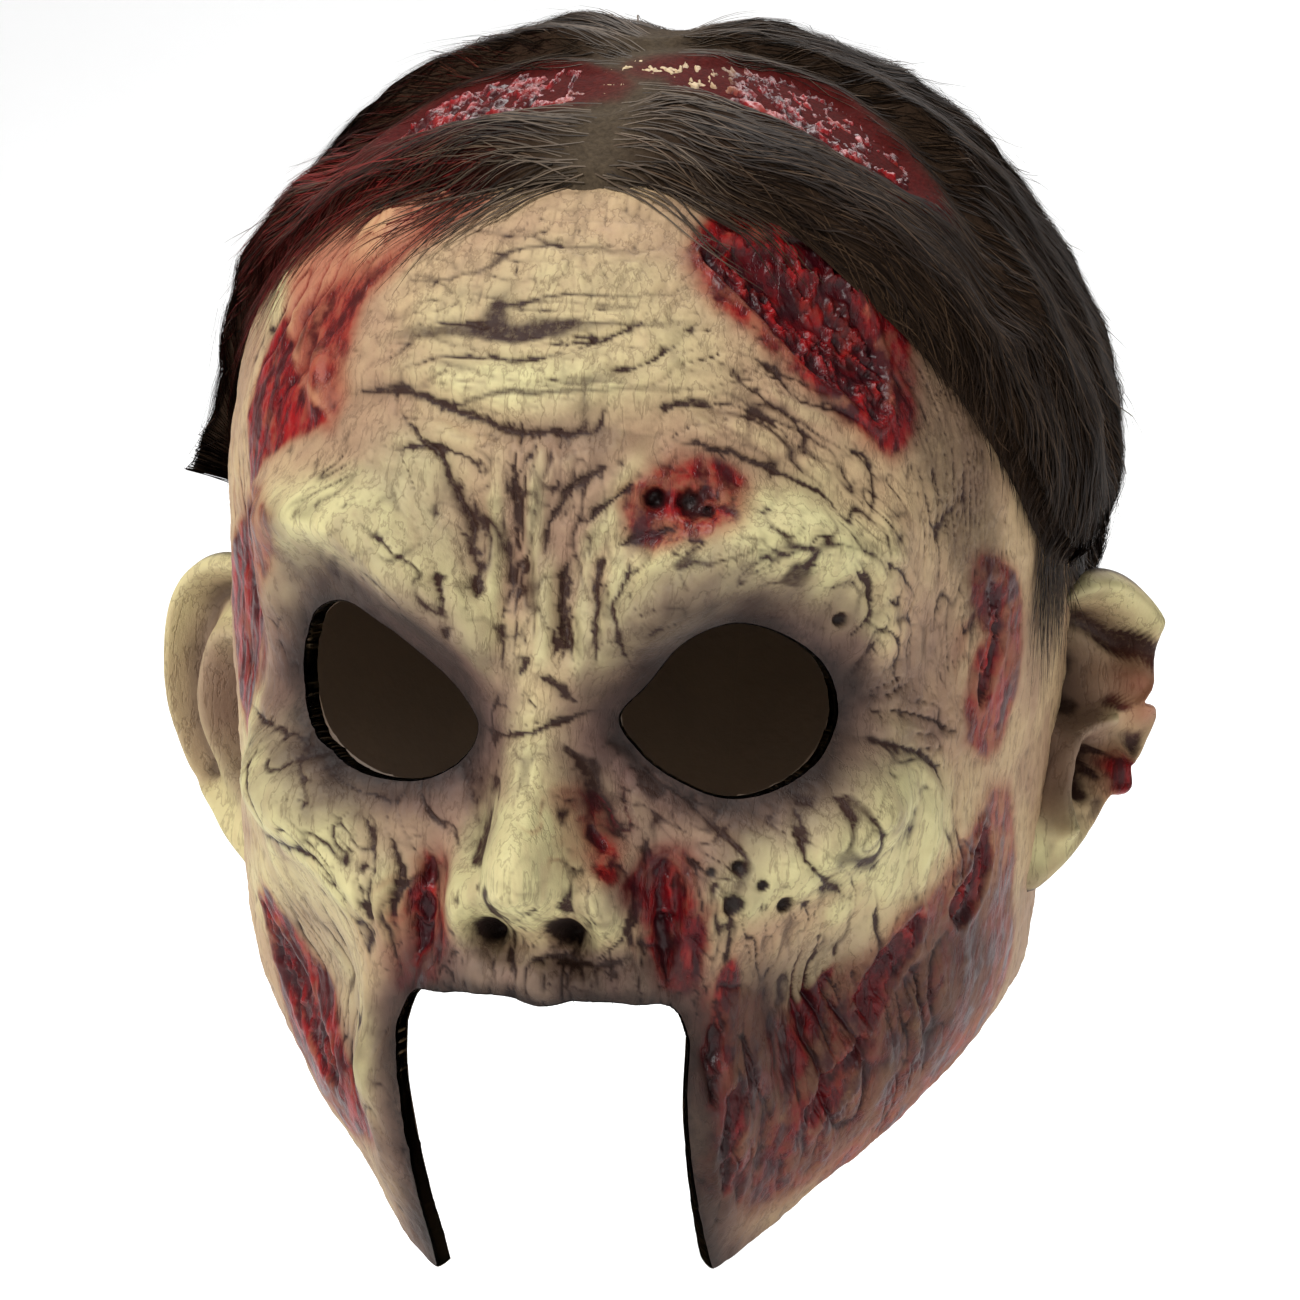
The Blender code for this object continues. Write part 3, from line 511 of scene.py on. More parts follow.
# %% Creases, wounds and paint as seen in the picture
CREASES = (  # half width, depth, darkness of stain and painted shade, then the places that the crease runs through
    (0.75, 0.9, 1.0, ((345, 395), (380, 390), (412, 391), (445, 406), (473, 416), (499, 427),
                      (527, 432), (553, 432), (588, 433), (601, 421), (610, 402), (629, 384))),
    (0.55, 0.6, 0.8, ((649, 412), (670, 406), (692, 403), (720, 410))),
    (0.75, 0.9, 1.0, ((667, 442), (716, 447), (747, 460), (782, 474), (810, 486), (831, 502),
                      (853, 530))),
    (0.75, 1.0, 1.0, ((397, 408), (419, 432), (445, 462), (451, 484), (467, 510), (473, 532),
                      (467, 553), (460, 573))),
    (0.60, 0.8, 1.0, ((473, 570), (477, 603))),
    (0.50, 0.6, 0.8, ((380, 445), (397, 450), (423, 447), (445, 448), (462, 454), (478, 467),
                      (484, 484))),
    (0.65, 1.0, 1.0, ((521, 465), (514, 484), (519, 506), (523, 532), (521, 553))),
    (0.45, 0.6, 0.9, ((509, 549), (508, 586))),
    (0.60, 0.8, 1.0, ((530, 553), (521, 580), (519, 603))),
    (0.75, 1.1, 1.0, ((614, 460), (588, 478), (566, 491), (560, 508), (549, 527), (547, 573))),
    (0.65, 1.0, 1.0, ((636, 482), (614, 499), (592, 517), (584, 530))),
    (0.45, 0.6, 0.9, ((590, 532), (589, 558))),
    (0.60, 0.9, 1.0, ((590, 571), (597, 597), (595, 629), (599, 664))),
    (0.70, 1.0, 1.0, ((575, 549), (564, 575), (562, 597), (564, 631), (577, 670))),
    (0.60, 0.9, 1.0, ((634, 560), (621, 590), (612, 608), (621, 644), (634, 670))),
    (0.50, 0.7, 0.9, ((432, 564), (441, 582), (443, 616))),
    (0.45, 0.6, 0.9, ((447, 625), (446, 642))),
    (0.45, 0.6, 0.9, ((532, 655), (517, 677))),
    (0.45, 0.6, 0.9, ((532, 671), (553, 684), (571, 699), (588, 705))),
    (0.55, 0.7, 0.8, ((610, 547), (640, 537), (684, 527))),
    (0.45, 0.5, 0.7, ((430, 325), (460, 322), (500, 330))),
    (0.50, 0.5, 0.8, ((435, 360), (470, 356), (510, 362), (560, 360))),
    (0.50, 0.5, 0.8, ((600, 372), (640, 366), (690, 335))),
    (0.45, 0.5, 0.7, ((540, 345), (600, 340), (650, 318))),
    (0.50, 0.6, 0.8, ((690, 400), (735, 405), (775, 425), (800, 450))),
    (0.50, 0.6, 0.8, ((730, 350), (770, 365), (800, 400), (850, 415), (880, 440))),
    (0.50, 0.6, 0.8, ((835, 445), (865, 455), (875, 490), (868, 530))),
    (0.50, 0.7, 0.8, ((850, 560), (870, 590), (868, 620), (840, 640))),
    (0.45, 0.6, 0.8, ((880, 560), (905, 575), (915, 600))),
    (0.55, 0.8, 0.9, ((470, 720), (500, 735), (545, 728), (590, 712), (612, 708))),
    (0.50, 0.7, 0.8, ((500, 690), (492, 720), (497, 760))),
    (0.50, 0.7, 0.8, ((560, 745), (585, 765), (600, 800))),
    (0.50, 0.7, 0.8, ((610, 730), (640, 765), (690, 800), (735, 815))),
    (0.50, 0.6, 0.7, ((250, 700), (300, 735), (345, 780), (390, 800), (440, 800))),
    (0.50, 0.6, 0.8, ((360, 800), (375, 850), (370, 900), (382, 950))),
    (0.50, 0.6, 0.8, ((385, 820), (398, 870), (392, 930))),
    (0.50, 0.6, 0.8, ((260, 830), (300, 850), (340, 890), (360, 930))),
    (0.45, 0.5, 0.8, ((440, 880), (432, 930), (440, 985))),
    (0.55, 0.8, 0.9, ((610, 850), (632, 890), (620, 940), (590, 962))),
    (0.50, 0.7, 0.9, ((640, 830), (648, 880), (646, 930))),
    (0.50, 0.7, 0.9, ((690, 840), (700, 890), (697, 960), (712, 1000))),
    (0.50, 0.6, 0.8, ((720, 880), (730, 930), (722, 990))),
    (0.55, 0.7, 0.9, ((780, 790), (800, 820), (810, 870), (850, 900))),
    (0.55, 0.7, 0.9, ((850, 735), (895, 745), (930, 760), (945, 800))),
    (0.50, 0.6, 0.8, ((870, 710), (920, 715), (965, 735))),
)
PITS = (  # place in the picture, radius and depth in millimetres
    ((655, 500), 1.9, 2.0), ((690, 503), 2.0, 2.1), ((708, 512), 1.1, 1.2),
    ((740, 868), 1.2, 1.2), ((735, 905), 1.4, 1.4), ((785, 905), 1.4, 1.4), ((840, 620), 1.2, 1.2),
    ((762, 885), 0.9, 0.9), ((712, 872), 0.8, 0.8), ((492, 926), 2.6, 2.6), ((568, 928), 2.8, 2.6),
)
WOUNDS = (  # depth, lip, blood, raw flesh, then the outline
    (2.0, 0.8, 1.0, 0.3, ((698, 252), (735, 236), (775, 230), (812, 236), (845, 266), (872, 315),
                          (888, 365), (890, 412), (878, 428), (848, 402), (800, 366), (760, 322),
                          (728, 285))),
    (1.2, 0.5, 0.85, 0.3, ((640, 495), (655, 480), (678, 482), (700, 478), (722, 492),
                           (716, 516), (694, 524), (672, 516), (652, 518))),
    (1.4, 0.4, 0.9, 0.3, ((262, 900), (280, 925), (312, 990), (335, 1060), (340, 1095),
                          (318, 1060), (285, 985))),
    (1.4, 0.4, 0.95, 0.2, ((418, 862), (432, 852), (438, 890), (430, 950), (416, 965),
                           (412, 905))),
    (1.5, 0.3, 1.0, 0.1, ((578, 818), (592, 822), (606, 845), (598, 856), (584, 840))),
    (1.5, 0.4, 0.95, 0.3, ((655, 858), (678, 862), (686, 905), (676, 945), (668, 985),
                           (656, 950), (650, 900))),
    (1.6, 0.4, 0.9, 0.2, ((718, 1150), (728, 1105), (742, 1080), (748, 1110), (738, 1160),
                          (724, 1195))),
    (1.5, 0.4, 0.9, 0.1, ((855, 1000), (880, 950), (915, 915), (925, 925), (900, 975),
                          (868, 1025))),
    (1.5, 0.4, 0.85, 0.2, ((800, 1110), (830, 1065), (865, 1035), (872, 1048), (845, 1090),
                           (812, 1130))),
    (1.5, 0.4, 0.9, 0.2, ((950, 900), (972, 860), (985, 820), (992, 850), (980, 900),
                          (960, 930))),
    (1.3, 0.3, 0.9, 0.1, ((990, 575), (1005, 600), (998, 660), (984, 710), (978, 690),
                          (986, 640))),
    (1.5, 0.4, 0.9, 0.2, ((704, 1015), (722, 1000), (730, 1045), (722, 1095), (706, 1105))),
)
# Besides blood and raw flesh these outlines carry painted light too: the pale on the nose tip, brows,
# cheekbones and cheeks is partly painted highlight, and the mauve and black round the eyes and under the
# nose, the black along the cut edges of the mouth and the brown on the picture's right temple and jaw are
# partly painted shade.
PAINT = (  # layer, amount, softness in millimetres, then the outline
    ("raw", 0.55, 4.0, ((250, 235), (330, 205), (480, 195), (455, 225), (400, 260), (360, 300),
                       (345, 350), (335, 410), (320, 425), (290, 370), (245, 330))),
    ("blood", 0.62, 5.0, ((440, 200), (490, 195), (470, 215), (420, 245), (370, 290), (355, 340),
                         (345, 400), (325, 420), (300, 330), (320, 290), (390, 260))),
    ("blood", 0.85, 3.0, ((238, 380), (275, 330), (300, 380), (330, 420), (290, 440), (250, 500),
                          (232, 560), (238, 660), (250, 720), (225, 680), (222, 500))),
    ("blood", 0.55, 2.5, ((255, 480), (275, 520), (262, 600), (258, 690), (245, 640), (240, 540))),
    ("blood", 0.8, 4.0, ((680, 250), (725, 210), (800, 205), (860, 235), (905, 310), (918, 400),
                         (905, 450), (870, 448), (825, 408), (775, 366), (725, 310))),
    ("blood", 0.75, 3.2, ((625, 500), (650, 462), (700, 455), (745, 478), (738, 518), (690, 548),
                          (640, 538))),
    ("blood", 0.8, 3.0, ((248, 870), (262, 880), (310, 950), (345, 1050), (375, 1140), (350, 1130),
                         (300, 1050), (248, 945))),
    ("blood", 0.6, 3.0, ((395, 900), (440, 840), (450, 900), (440, 985), (400, 990))),
    ("blood", 0.7, 3.0, ((570, 790), (600, 800), (625, 850), (615, 880), (580, 860))),
    ("blood", 0.7, 3.0, ((640, 850), (690, 845), (700, 900), (700, 990), (660, 985), (640, 920))),
    ("blood", 0.62, 5.0, ((690, 1000), (740, 985), (800, 1000), (850, 960), (930, 900),
                          (1000, 880), (1010, 960), (930, 1090), (830, 1180), (720, 1210),
                          (700, 1100))),
    ("blood", 0.95, 2.0, ((752, 58), (800, 66), (895, 122), (892, 150), (840, 130), (770, 98))),
    ("blood", 0.95, 2.0, ((424, 62), (470, 58), (520, 75), (508, 92), (430, 88))),
    ("wash", 0.5, 2.0, ((700, 45), (745, 60), (760, 95), (715, 80))),
    ("blood", 0.8, 2.0, ((715, 990), (735, 960), (742, 1010), (735, 1090), (715, 1130))),
    ("blood", 0.8, 2.2, ((780, 1040), (810, 985), (835, 965), (825, 1020), (790, 1090))),
    ("blood", 0.8, 2.2, ((765, 1150), (790, 1100), (815, 1090), (800, 1140), (770, 1180))),
    ("soot", 0.5, 4.0, ((740, 960), (780, 990), (790, 1060), (760, 1120), (730, 1060))),
    ("soot", 0.45, 5.0, ((900, 980), (960, 920), (985, 950), (920, 1060), (880, 1060))),
    ("blood", 0.7, 3.0, ((970, 560), (1015, 570), (1020, 650), (1000, 750), (965, 745),
                         (980, 640))),
    ("blood", 0.6, 4.0, ((925, 900), (1000, 780), (1015, 850), (1005, 930), (960, 990),
                         (930, 960))),
    ("bruise", 0.9, 7.0, ((290, 590), (330, 560), (420, 590), (480, 660), (500, 720), (480, 780),
                          (400, 800), (320, 790), (290, 700))),
    ("bruise", 0.9, 7.0, ((600, 690), (650, 630), (740, 590), (830, 620), (865, 690), (860, 760),
                          (800, 830), (700, 830), (630, 790), (595, 740))),
    ("bruise", 0.7, 8.0, ((610, 760), (700, 820), (760, 830), (720, 900), (650, 930), (600, 830))),
    ("bruise", 0.95, 5.0, ((420, 925), (480, 945), (560, 955), (640, 950), (690, 950), (695, 1015),
                           (550, 1010), (405, 1010))),
    ("soot", 0.30, 4.0, ((430, 940), (560, 955), (680, 945), (690, 1010), (550, 1010), (410, 1008))),
    ("wash", 0.62, 6.0, ((890, 330), (935, 330), (985, 420), (1000, 520), (985, 640), (940, 520),
                         (905, 430))),
    # Mostly painted shade: the picture's right cheek and jaw, turned away from the light.
    ("wash", 0.50, 7.0, ((720, 990), (860, 960), (960, 880), (1010, 900), (940, 1060), (830, 1160),
                         (730, 1210))),
    ("bruise", 0.5, 8.0, ((390, 740), (470, 770), (460, 850), (420, 870), (370, 860))),
    ("bruise", 0.45, 8.0, ((370, 430), (440, 450), (480, 540), (470, 600), (420, 560),
                           (370, 480))),
    ("bruise", 0.4, 8.0, ((500, 450), (600, 440), (610, 560), (600, 660), (520, 660),
                          (500, 560))),
    ("soot", 0.8, 3.0, ((300, 640), (330, 600), (380, 595), (440, 640), (478, 690), (475, 755),
                        (400, 775), (330, 750), (305, 690))),
    ("soot", 0.85, 3.2, ((610, 705), (660, 645), (730, 612), (800, 640), (842, 690), (838, 770),
                         (780, 805), (700, 798), (630, 760))),
    ("soot", 0.7, 4.0, ((395, 1000), (420, 1000), (418, 1100), (440, 1200), (470, 1275),
                        (430, 1240), (385, 1110))),
    ("soot", 0.8, 4.0, ((680, 1010), (712, 1010), (722, 1100), (722, 1200), (700, 1270),
                        (684, 1200))),
    ("pale", 1.0, 5.0, ((470, 830), (520, 800), (570, 830), (575, 900), (545, 925), (490, 925),
                        (465, 890))),
    ("pale", 0.9, 5.0, ((450, 870), (475, 865), (480, 930), (455, 930))),
    ("pale", 0.7, 5.0, ((580, 870), (618, 880), (615, 940), (590, 950))),
    ("pale", 0.9, 7.0, ((280, 570), (330, 490), (400, 485), (450, 550), (470, 640), (410, 590),
                        (340, 590), (295, 620))),
    ("pale", 0.9, 7.0, ((590, 690), (640, 620), (700, 570), (770, 530), (840, 560), (880, 630),
                        (800, 610), (720, 600), (640, 650))),
    ("pale", 0.45, 8.0, ((430, 300), (600, 250), (690, 300), (720, 390), (600, 410), (440, 390))),
    ("pale", 0.7, 8.0, ((250, 700), (320, 730), (360, 820), (300, 850), (245, 800))),
    ("pale", 0.9, 8.0, ((830, 760), (900, 750), (945, 800), (930, 880), (860, 900), (800, 860))),
    ("pale", 0.6, 8.0, ((250, 860), (330, 860), (360, 950), (370, 1100), (300, 960))),
    ("pale", 0.6, 8.0, ((830, 920), (900, 900), (860, 1000), (790, 1080), (770, 1000))),
)
FURROWS = (  # middle in the picture, reach, direction in degrees, spacing, length and depth in mm
    ((540, 480), 75, 86, 1.5, 9.0, 0.75), ((540, 600), 60, 92, 1.5, 8.0, 0.75),
    ((545, 650), 45, 60, 1.5, 6.0, 0.55), ((600, 560), 45, 75, 1.6, 8.0, 0.65),
    ((480, 540), 45, 105, 1.6, 8.0, 0.65),
    ((540, 330), 150, 2, 2.0, 16.0, 0.50), ((540, 300), 130, 88, 2.2, 9.0, 0.40),
    ((420, 370), 75, 8, 1.9, 9.0, 0.55), ((690, 380), 80, 10, 1.9, 9.0, 0.55),
    ((780, 420), 70, -28, 1.8, 9.0, 0.60), ((660, 300), 60, 60, 1.8, 5.0, 0.40),
    ((400, 470), 45, -60, 1.8, 7.0, 0.40), ((330, 470), 45, 40, 1.8, 7.0, 0.45),
    ((880, 520), 60, -48, 1.7, 8.0, 0.65), ((940, 480), 55, -72, 1.7, 11.0, 0.65),
    ((960, 620), 60, -80, 1.8, 10.0, 0.65), ((900, 620), 45, -30, 1.6, 6.0, 0.60),
    ((930, 720), 50, -12, 1.7, 7.0, 0.65), ((890, 690), 40, 12, 1.6, 6.0, 0.60),
    ((340, 540), 40, 25, 1.5, 5.0, 0.45), ((410, 570), 45, -42, 1.5, 6.0, 0.55),
    ((700, 570), 55, 32, 1.4, 6.0, 0.55), ((790, 560), 55, 2, 1.4, 6.0, 0.55),
    ((850, 590), 40, -35, 1.5, 6.0, 0.55), ((620, 640), 35, 50, 1.4, 5.0, 0.50),
    ((285, 640), 40, 78, 1.7, 7.0, 0.55), ((270, 730), 45, 50, 1.7, 6.0, 0.60),
    ((320, 790), 45, 20, 1.8, 6.0, 0.50), ((340, 850), 50, -45, 1.8, 8.0, 0.60),
    ((430, 810), 45, -62, 1.6, 7.0, 0.65), ((460, 780), 35, -75, 1.5, 6.0, 0.55),
    ((380, 930), 50, -80, 1.8, 10.0, 0.75), ((310, 940), 50, -62, 2.0, 9.0, 0.65),
    ((520, 720), 40, 12, 1.5, 5.0, 0.50), ((520, 770), 40, 85, 1.6, 7.0, 0.45),
    ((600, 760), 40, -50, 1.5, 6.0, 0.60), ((660, 790), 50, -32, 1.7, 7.0, 0.70),
    ((730, 850), 50, -38, 1.8, 7.0, 0.65), ((800, 830), 45, -15, 1.8, 6.0, 0.60),
    ((870, 840), 50, 55, 2.2, 6.0, 0.50), ((820, 900), 50, -50, 1.9, 7.0, 0.65),
    ((670, 900), 50, -82, 1.7, 9.0, 0.80), ((740, 960), 60, -68, 2.0, 10.0, 0.95),
    ((820, 1000), 65, -55, 2.1, 10.0, 1.00), ((900, 1000), 60, -62, 2.1, 11.0, 0.90),
    ((760, 1070), 60, -72, 2.1, 11.0, 1.05), ((820, 1110), 50, -52, 2.1, 9.0, 1.00),
    ((740, 1160), 50, -80, 2.0, 9.0, 0.95), ((900, 1080), 50, -55, 2.1, 9.0, 0.85),
    ((560, 970), 70, 86, 1.4, 7.0, 0.70), ((450, 970), 45, 80, 1.4, 7.0, 0.70),
    ((650, 970), 45, 100, 1.5, 7.0, 0.75), ((600, 930), 35, 60, 1.4, 5.0, 0.55),
    ((400, 1060), 40, -84, 1.8, 9.0, 0.75), ((350, 1050), 50, -66, 2.0, 9.0, 0.70),
    ((420, 1160), 40, -75, 1.8, 9.0, 0.70), ((960, 860), 55, -80, 1.9, 11.0, 0.70),
    ((250, 560), 40, -86, 1.8, 10.0, 0.60), ((250, 660), 35, -86, 1.8, 9.0, 0.60),
    ((290, 380), 50, 70, 2.4, 8.0, 0.55), ((400, 230), 60, 40, 2.6, 8.0, 0.50),
    ((600, 230), 90, 88, 2.4, 6.0, 0.35),
    ((925, 400), 50, -66, 1.1, 26.0, 1.00), ((955, 500), 60, -76, 1.1, 26.0, 1.00),
    ((985, 600), 50, -82, 1.1, 24.0, 0.90), ((550, 985), 80, 88, 1.3, 8.0, 1.00),
    ((450, 985), 40, 84, 1.3, 8.0, 0.90), ((655, 985), 45, 96, 1.3, 8.0, 1.00),
)
DRAPES = (  # middle in the picture, reach, direction, spacing, length, height, layer in the beds
    ((770, 1000), 65, -72, 4.2, 16, 1.5, "wash"), ((860, 960), 60, -60, 4.5, 18, 1.4, "wash"),
    ((760, 1120), 70, -78, 3.6, 18, 2.3, "blood"), ((850, 1070), 70, -60, 3.8, 18, 2.2, "blood"),
    ((930, 1000), 60, -64, 3.8, 20, 1.9, "blood"), ((800, 1000), 60, -70, 3.4, 18, 1.8, "blood"),
    ((700, 900), 40, -82, 3.4, 14, 1.2, "wash"),
    ((960, 880), 50, -80, 4.4, 18, 1.0, "blood"), ((990, 640), 45, -84, 3.6, 16, 0.9, "blood"),
    ((350, 960), 50, -70, 3.8, 16, 1.4, "wash"), ((400, 900), 40, -80, 3.4, 14, 1.1, "wash"),
    ((375, 1060), 50, -74, 3.8, 14, 1.3, "wash"), ((300, 1000), 45, -64, 4.0, 16, 1.0, "blood"),
    ((430, 800), 42, -60, 3.0, 10, 0.8, "wash"), ((650, 790), 50, -35, 3.2, 12, 1.0, "wash"),
    ((730, 850), 50, -38, 3.2, 10, 0.9, "wash"), ((940, 560), 65, -70, 3.4, 16, 1.0, "wash"),
    ((890, 650), 45, -30, 3.0, 10, 0.9, "wash"), ((900, 730), 45, -10, 3.2, 11, 0.9, "wash"),
    ((870, 840), 60, 30, 5.0, 7, 1.4, "wash"), ((290, 780), 55, 30, 4.5, 6, 1.2, "wash"),
    ((560, 985), 90, 86, 3.0, 9, 1.0, "wash"), ((545, 530), 65, 88, 3.2, 14, 1.0, "wash"),
    ((700, 580), 55, 30, 2.6, 9, 0.7, "wash"), ((400, 565), 50, -40, 2.6, 9, 0.7, "wash"),
    ((800, 560), 50, -5, 2.8, 9, 0.7, "wash"), ((320, 560), 45, 60, 2.8, 9, 0.7, "wash"),
    ((300, 330), 60, 66, 3.4, 14, 2.0, "blood"), ((250, 540), 60, -88, 3.0, 16, 1.5, "blood"),
    ((520, 330), 150, 4, 4.0, 22, 0.25, "wash"), ((780, 420), 70, -25, 3.6, 13, 0.9, "wash"),
    ((600, 820), 35, -60, 2.8, 9, 0.9, "blood"), ((425, 900), 30, -84, 2.8, 12, 1.0, "blood"),
    ((680, 930), 40, -82, 3.0, 14, 1.2, "blood"),
)
SWELLS = (  # middle in the picture, half width, half height, tilt, height, edge
    ((520, 872), 8.6, 11.0, 0, 3.6, 3.4), ((464, 902), 4.8, 8.0, 8, 2.6, 3.2),
    ((602, 905), 5.6, 9.0, -8, 2.8, 3.2), ((528, 765), 6.5, 15.0, 4, 1.7, 2.6),
    ((532, 700), 9.0, 6.0, 0, -0.8, 2.0), ((466, 760), 5.0, 12.0, 12, -0.9, 2.0),
    ((610, 780), 6.0, 12.0, -20, -0.9, 2.0),
    ((880, 800), 9.5, 7.0, -25, 1.6, 2.6), ((926, 838), 7.0, 9.5, 0, 1.9, 2.6),
    ((850, 850), 7.5, 6.0, 0, 1.5, 2.6), ((800, 875), 6.0, 5.0, 0, 1.1, 2.6),
    ((880, 880), 7.0, 6.0, 10, 1.4, 2.6), ((840, 905), 5.0, 6.0, 0, 1.1, 2.6),
    ((760, 850), 6.0, 5.0, 0, 0.9, 2.6), ((745, 890), 5.0, 5.0, 0, 0.8, 2.6),
    ((283, 735), 7.0, 6.0, 0, 1.2, 2.6), ((300, 795), 9.0, 8.0, 0, 1.6, 2.6),
    ((345, 800), 6.0, 6.0, 0, 1.0, 2.6), ((275, 850), 6.0, 8.0, 0, 0.9, 2.6),
    ((330, 880), 5.0, 9.0, 25, 0.9, 2.6), ((350, 960), 4.0, 10.0, 22, 1.2, 2.6),
    ((385, 900), 3.0, 10.0, 5, 0.9, 2.6), ((372, 1040), 4.0, 11.0, 14, 1.0, 2.6),
    ((430, 985), 4.0, 4.5, 0, 1.1, 2.6), ((480, 980), 4.5, 5.0, 0, 1.2, 2.6),
    ((535, 985), 4.2, 5.5, 0, 1.4, 2.6), ((588, 985), 3.8, 6.0, 0, 1.5, 2.6),
    ((640, 985), 4.5, 5.0, 0, 1.2, 2.6), ((535, 380), 22.0, 6.5, 0, 0.9, 2.4),
    ((410, 478), 9.0, 8.0, 0, 1.0, 2.4), ((330, 540), 8.0, 10.0, 0, 0.8, 2.4),
    ((760, 525), 15.0, 6.0, 24, 0.9, 2.4), ((700, 592), 12.0, 5.5, -24, 1.2, 2.4),
    ((800, 585), 10.0, 5.0, 16, 1.0, 2.4), ((400, 575), 12.0, 6.5, 38, 1.2, 2.4),
    ((330, 590), 7.0, 7.0, -30, 0.8, 2.4), ((497, 560), 1.8, 14.0, 0, 0.9, 2.4),
    ((536, 520), 1.8, 12.0, 0, 0.9, 2.4), ((545, 610), 1.8, 10.0, 0, 0.9, 2.4),
    ((606, 520), 2.0, 12.0, -25, 0.9, 2.4), ((582, 620), 1.8, 12.0, 0, 0.9, 2.4),
    ((618, 580), 2.2, 11.0, 8, 0.9, 2.4), ((470, 630), 2.2, 10.0, 12, 0.9, 2.4),
    ((375, 235), 5.2, 8.0, -28, 1.6, 3.0), ((318, 375), 2.6, 9.0, 22, 1.5, 3.0),
    ((285, 290), 7.0, 9.0, 10, 0.9, 2.6),
)


# %% Bare slits of the scalp
SLITS = (  # turn, fall, long, wide, aim
    (-27, 0.345, 0.86, 0.42, -8), (36, 0.335, 1.06, 0.48, -4),
)


def slit_share(point, limit=1.3):
    """1 in the bare slits of the scalp, 0 away from them."""
    share = np.zeros(point.shape[:-1])
    for turn, fall, long, wide, aim in SLITS:
        middle = skin_point(math.radians(turn), fall)
        aim = math.radians(aim)
        x, y = point[..., 0] - middle[0], point[..., 1] - middle[1]
        u = (x * math.cos(aim) + y * math.sin(aim)) / (0.5 * long * SLIT_LENGTH)
        v = (y * math.cos(aim) - x * math.sin(aim)) / (0.5 * wide * SLIT_LENGTH)
        off = np.hypot(u, v) - 0.1 * rough(point, 6.0, 301)
        share = np.maximum(share, soft(-off, -limit, 0.4 - limit))
    return share


# %% Press them into the net
def pit(place, radius, depth):
    middle = pinned([place])
    if len(middle) == 0:
        return
    where = around(middle, 4 * radius)
    off = np.hypot(across_grid[where] - middle[0, 0], length_grid[where] - middle[0, 1])
    off = off * (1 + 0.25 * WARP[..., 0][where])
    bed = np.exp(-(off / radius) ** 4)
    push[where] -= depth * bed
    push[where] += 0.3 * depth * np.exp(-((off - 1.6 * radius) / (0.6 * radius)) ** 2)
    # The bed of each pit is painted black as painted shadow; the two at the nose are dents painted black in
    # place of open nostrils.
    lay_mark("soot", where, bed)


def wound(depth, lip, blood, raw, outline):
    outline = rounded(pinned(outline), 3, closed=True)
    where = around(outline, 9.0)
    depth_in = inside(outline, where)
    bed = soft(depth_in, 0.0, 1.6)
    spots = base[where]
    ridges = 1 - np.abs(rough(spots * (1.0, 1.0, 0.6), 3.2, 71, 3))
    push[where] += bed * (-depth + 0.9 * depth * ridges ** 3)
    push[where] += lip * np.exp(-((depth_in + 0.7) / 0.9) ** 2) * (0.7 + 0.3 * ridges)
    halo = soft(depth_in + 1.2 * WARP[..., 1][where], -3.2, 0.6)
    lay_mark("blood", where, blood * halo * (0.75 + 0.25 * bed))
    lay_mark("raw", where, raw * bed * ridges ** 2)
    # The low parts of the wound bed are darkened with painted shade.
    lay_mark("wash", where, bed * (1 - ridges) * 1.2)


def paint(layer, amount, softness, outline):
    outline = rounded(pinned(outline), 3, closed=True)
    where = around(outline, 2.5 * softness)
    depth_in = inside(outline, where) + 0.35 * softness * WARP[..., 0][where]
    lay_mark(layer, where, amount * soft(depth_in, -softness, 0.7 * softness))


def patch(middle, reach, direction, warp):
    """Net points about a place: how far along and across a direction they are, and how near."""
    reach = reach / VIEW_SCALE
    where = around(middle, 2.0 * reach)
    x = across_grid[where] - middle[0, 0] + warp[0][where]
    y = length_grid[where] - middle[0, 1] + warp[1][where]
    way = (math.cos(math.radians(direction)), -math.sin(math.radians(direction)))
    along, over = x * way[0] + y * way[1], y * way[0] - x * way[1]
    return where, along, over, (np.hypot(x, y) / reach) ** 2


furrowed = np.zeros(base.shape[:2])
furrow_stain_and_shade = np.zeros(base.shape[:2])


def furrow(middle, reach, direction, spacing, length, depth, seed):
    """Fine wrinkles that run one way round about a place, as the zero lines of stretched noise."""
    middle = pinned([middle])
    if len(middle) == 0:
        return
    warp = (0.9 * WARP[..., 0], 0.9 * WARP[..., 1])
    where, along, over, far = patch(middle, reach, direction, warp)
    weight = np.exp(-0.8 * far)
    weight = weight * (0.55 + 0.45 * np.clip(1 + WARP[..., 1][where], 0, 1.6))
    for scale, share in ((1.0, 1.0), (0.55, 0.55)):
        at = np.stack([along / (length * scale), over / (spacing * 1.3 * scale),
                       np.full(along.shape, 0.37 * seed)], -1)
        line = (1 - np.abs(noise(at, 1.0, seed))) ** 7
        furrowed[where] = np.maximum(furrowed[where], depth * share * weight * line)
        # The wrinkle lines are darkened with stain and painted shade.
        furrow_stain_and_shade[where] = np.maximum(furrow_stain_and_shade[where], min(1.0, 1.25 * depth + 0.1) * share * weight
                                    * line ** 1.5)


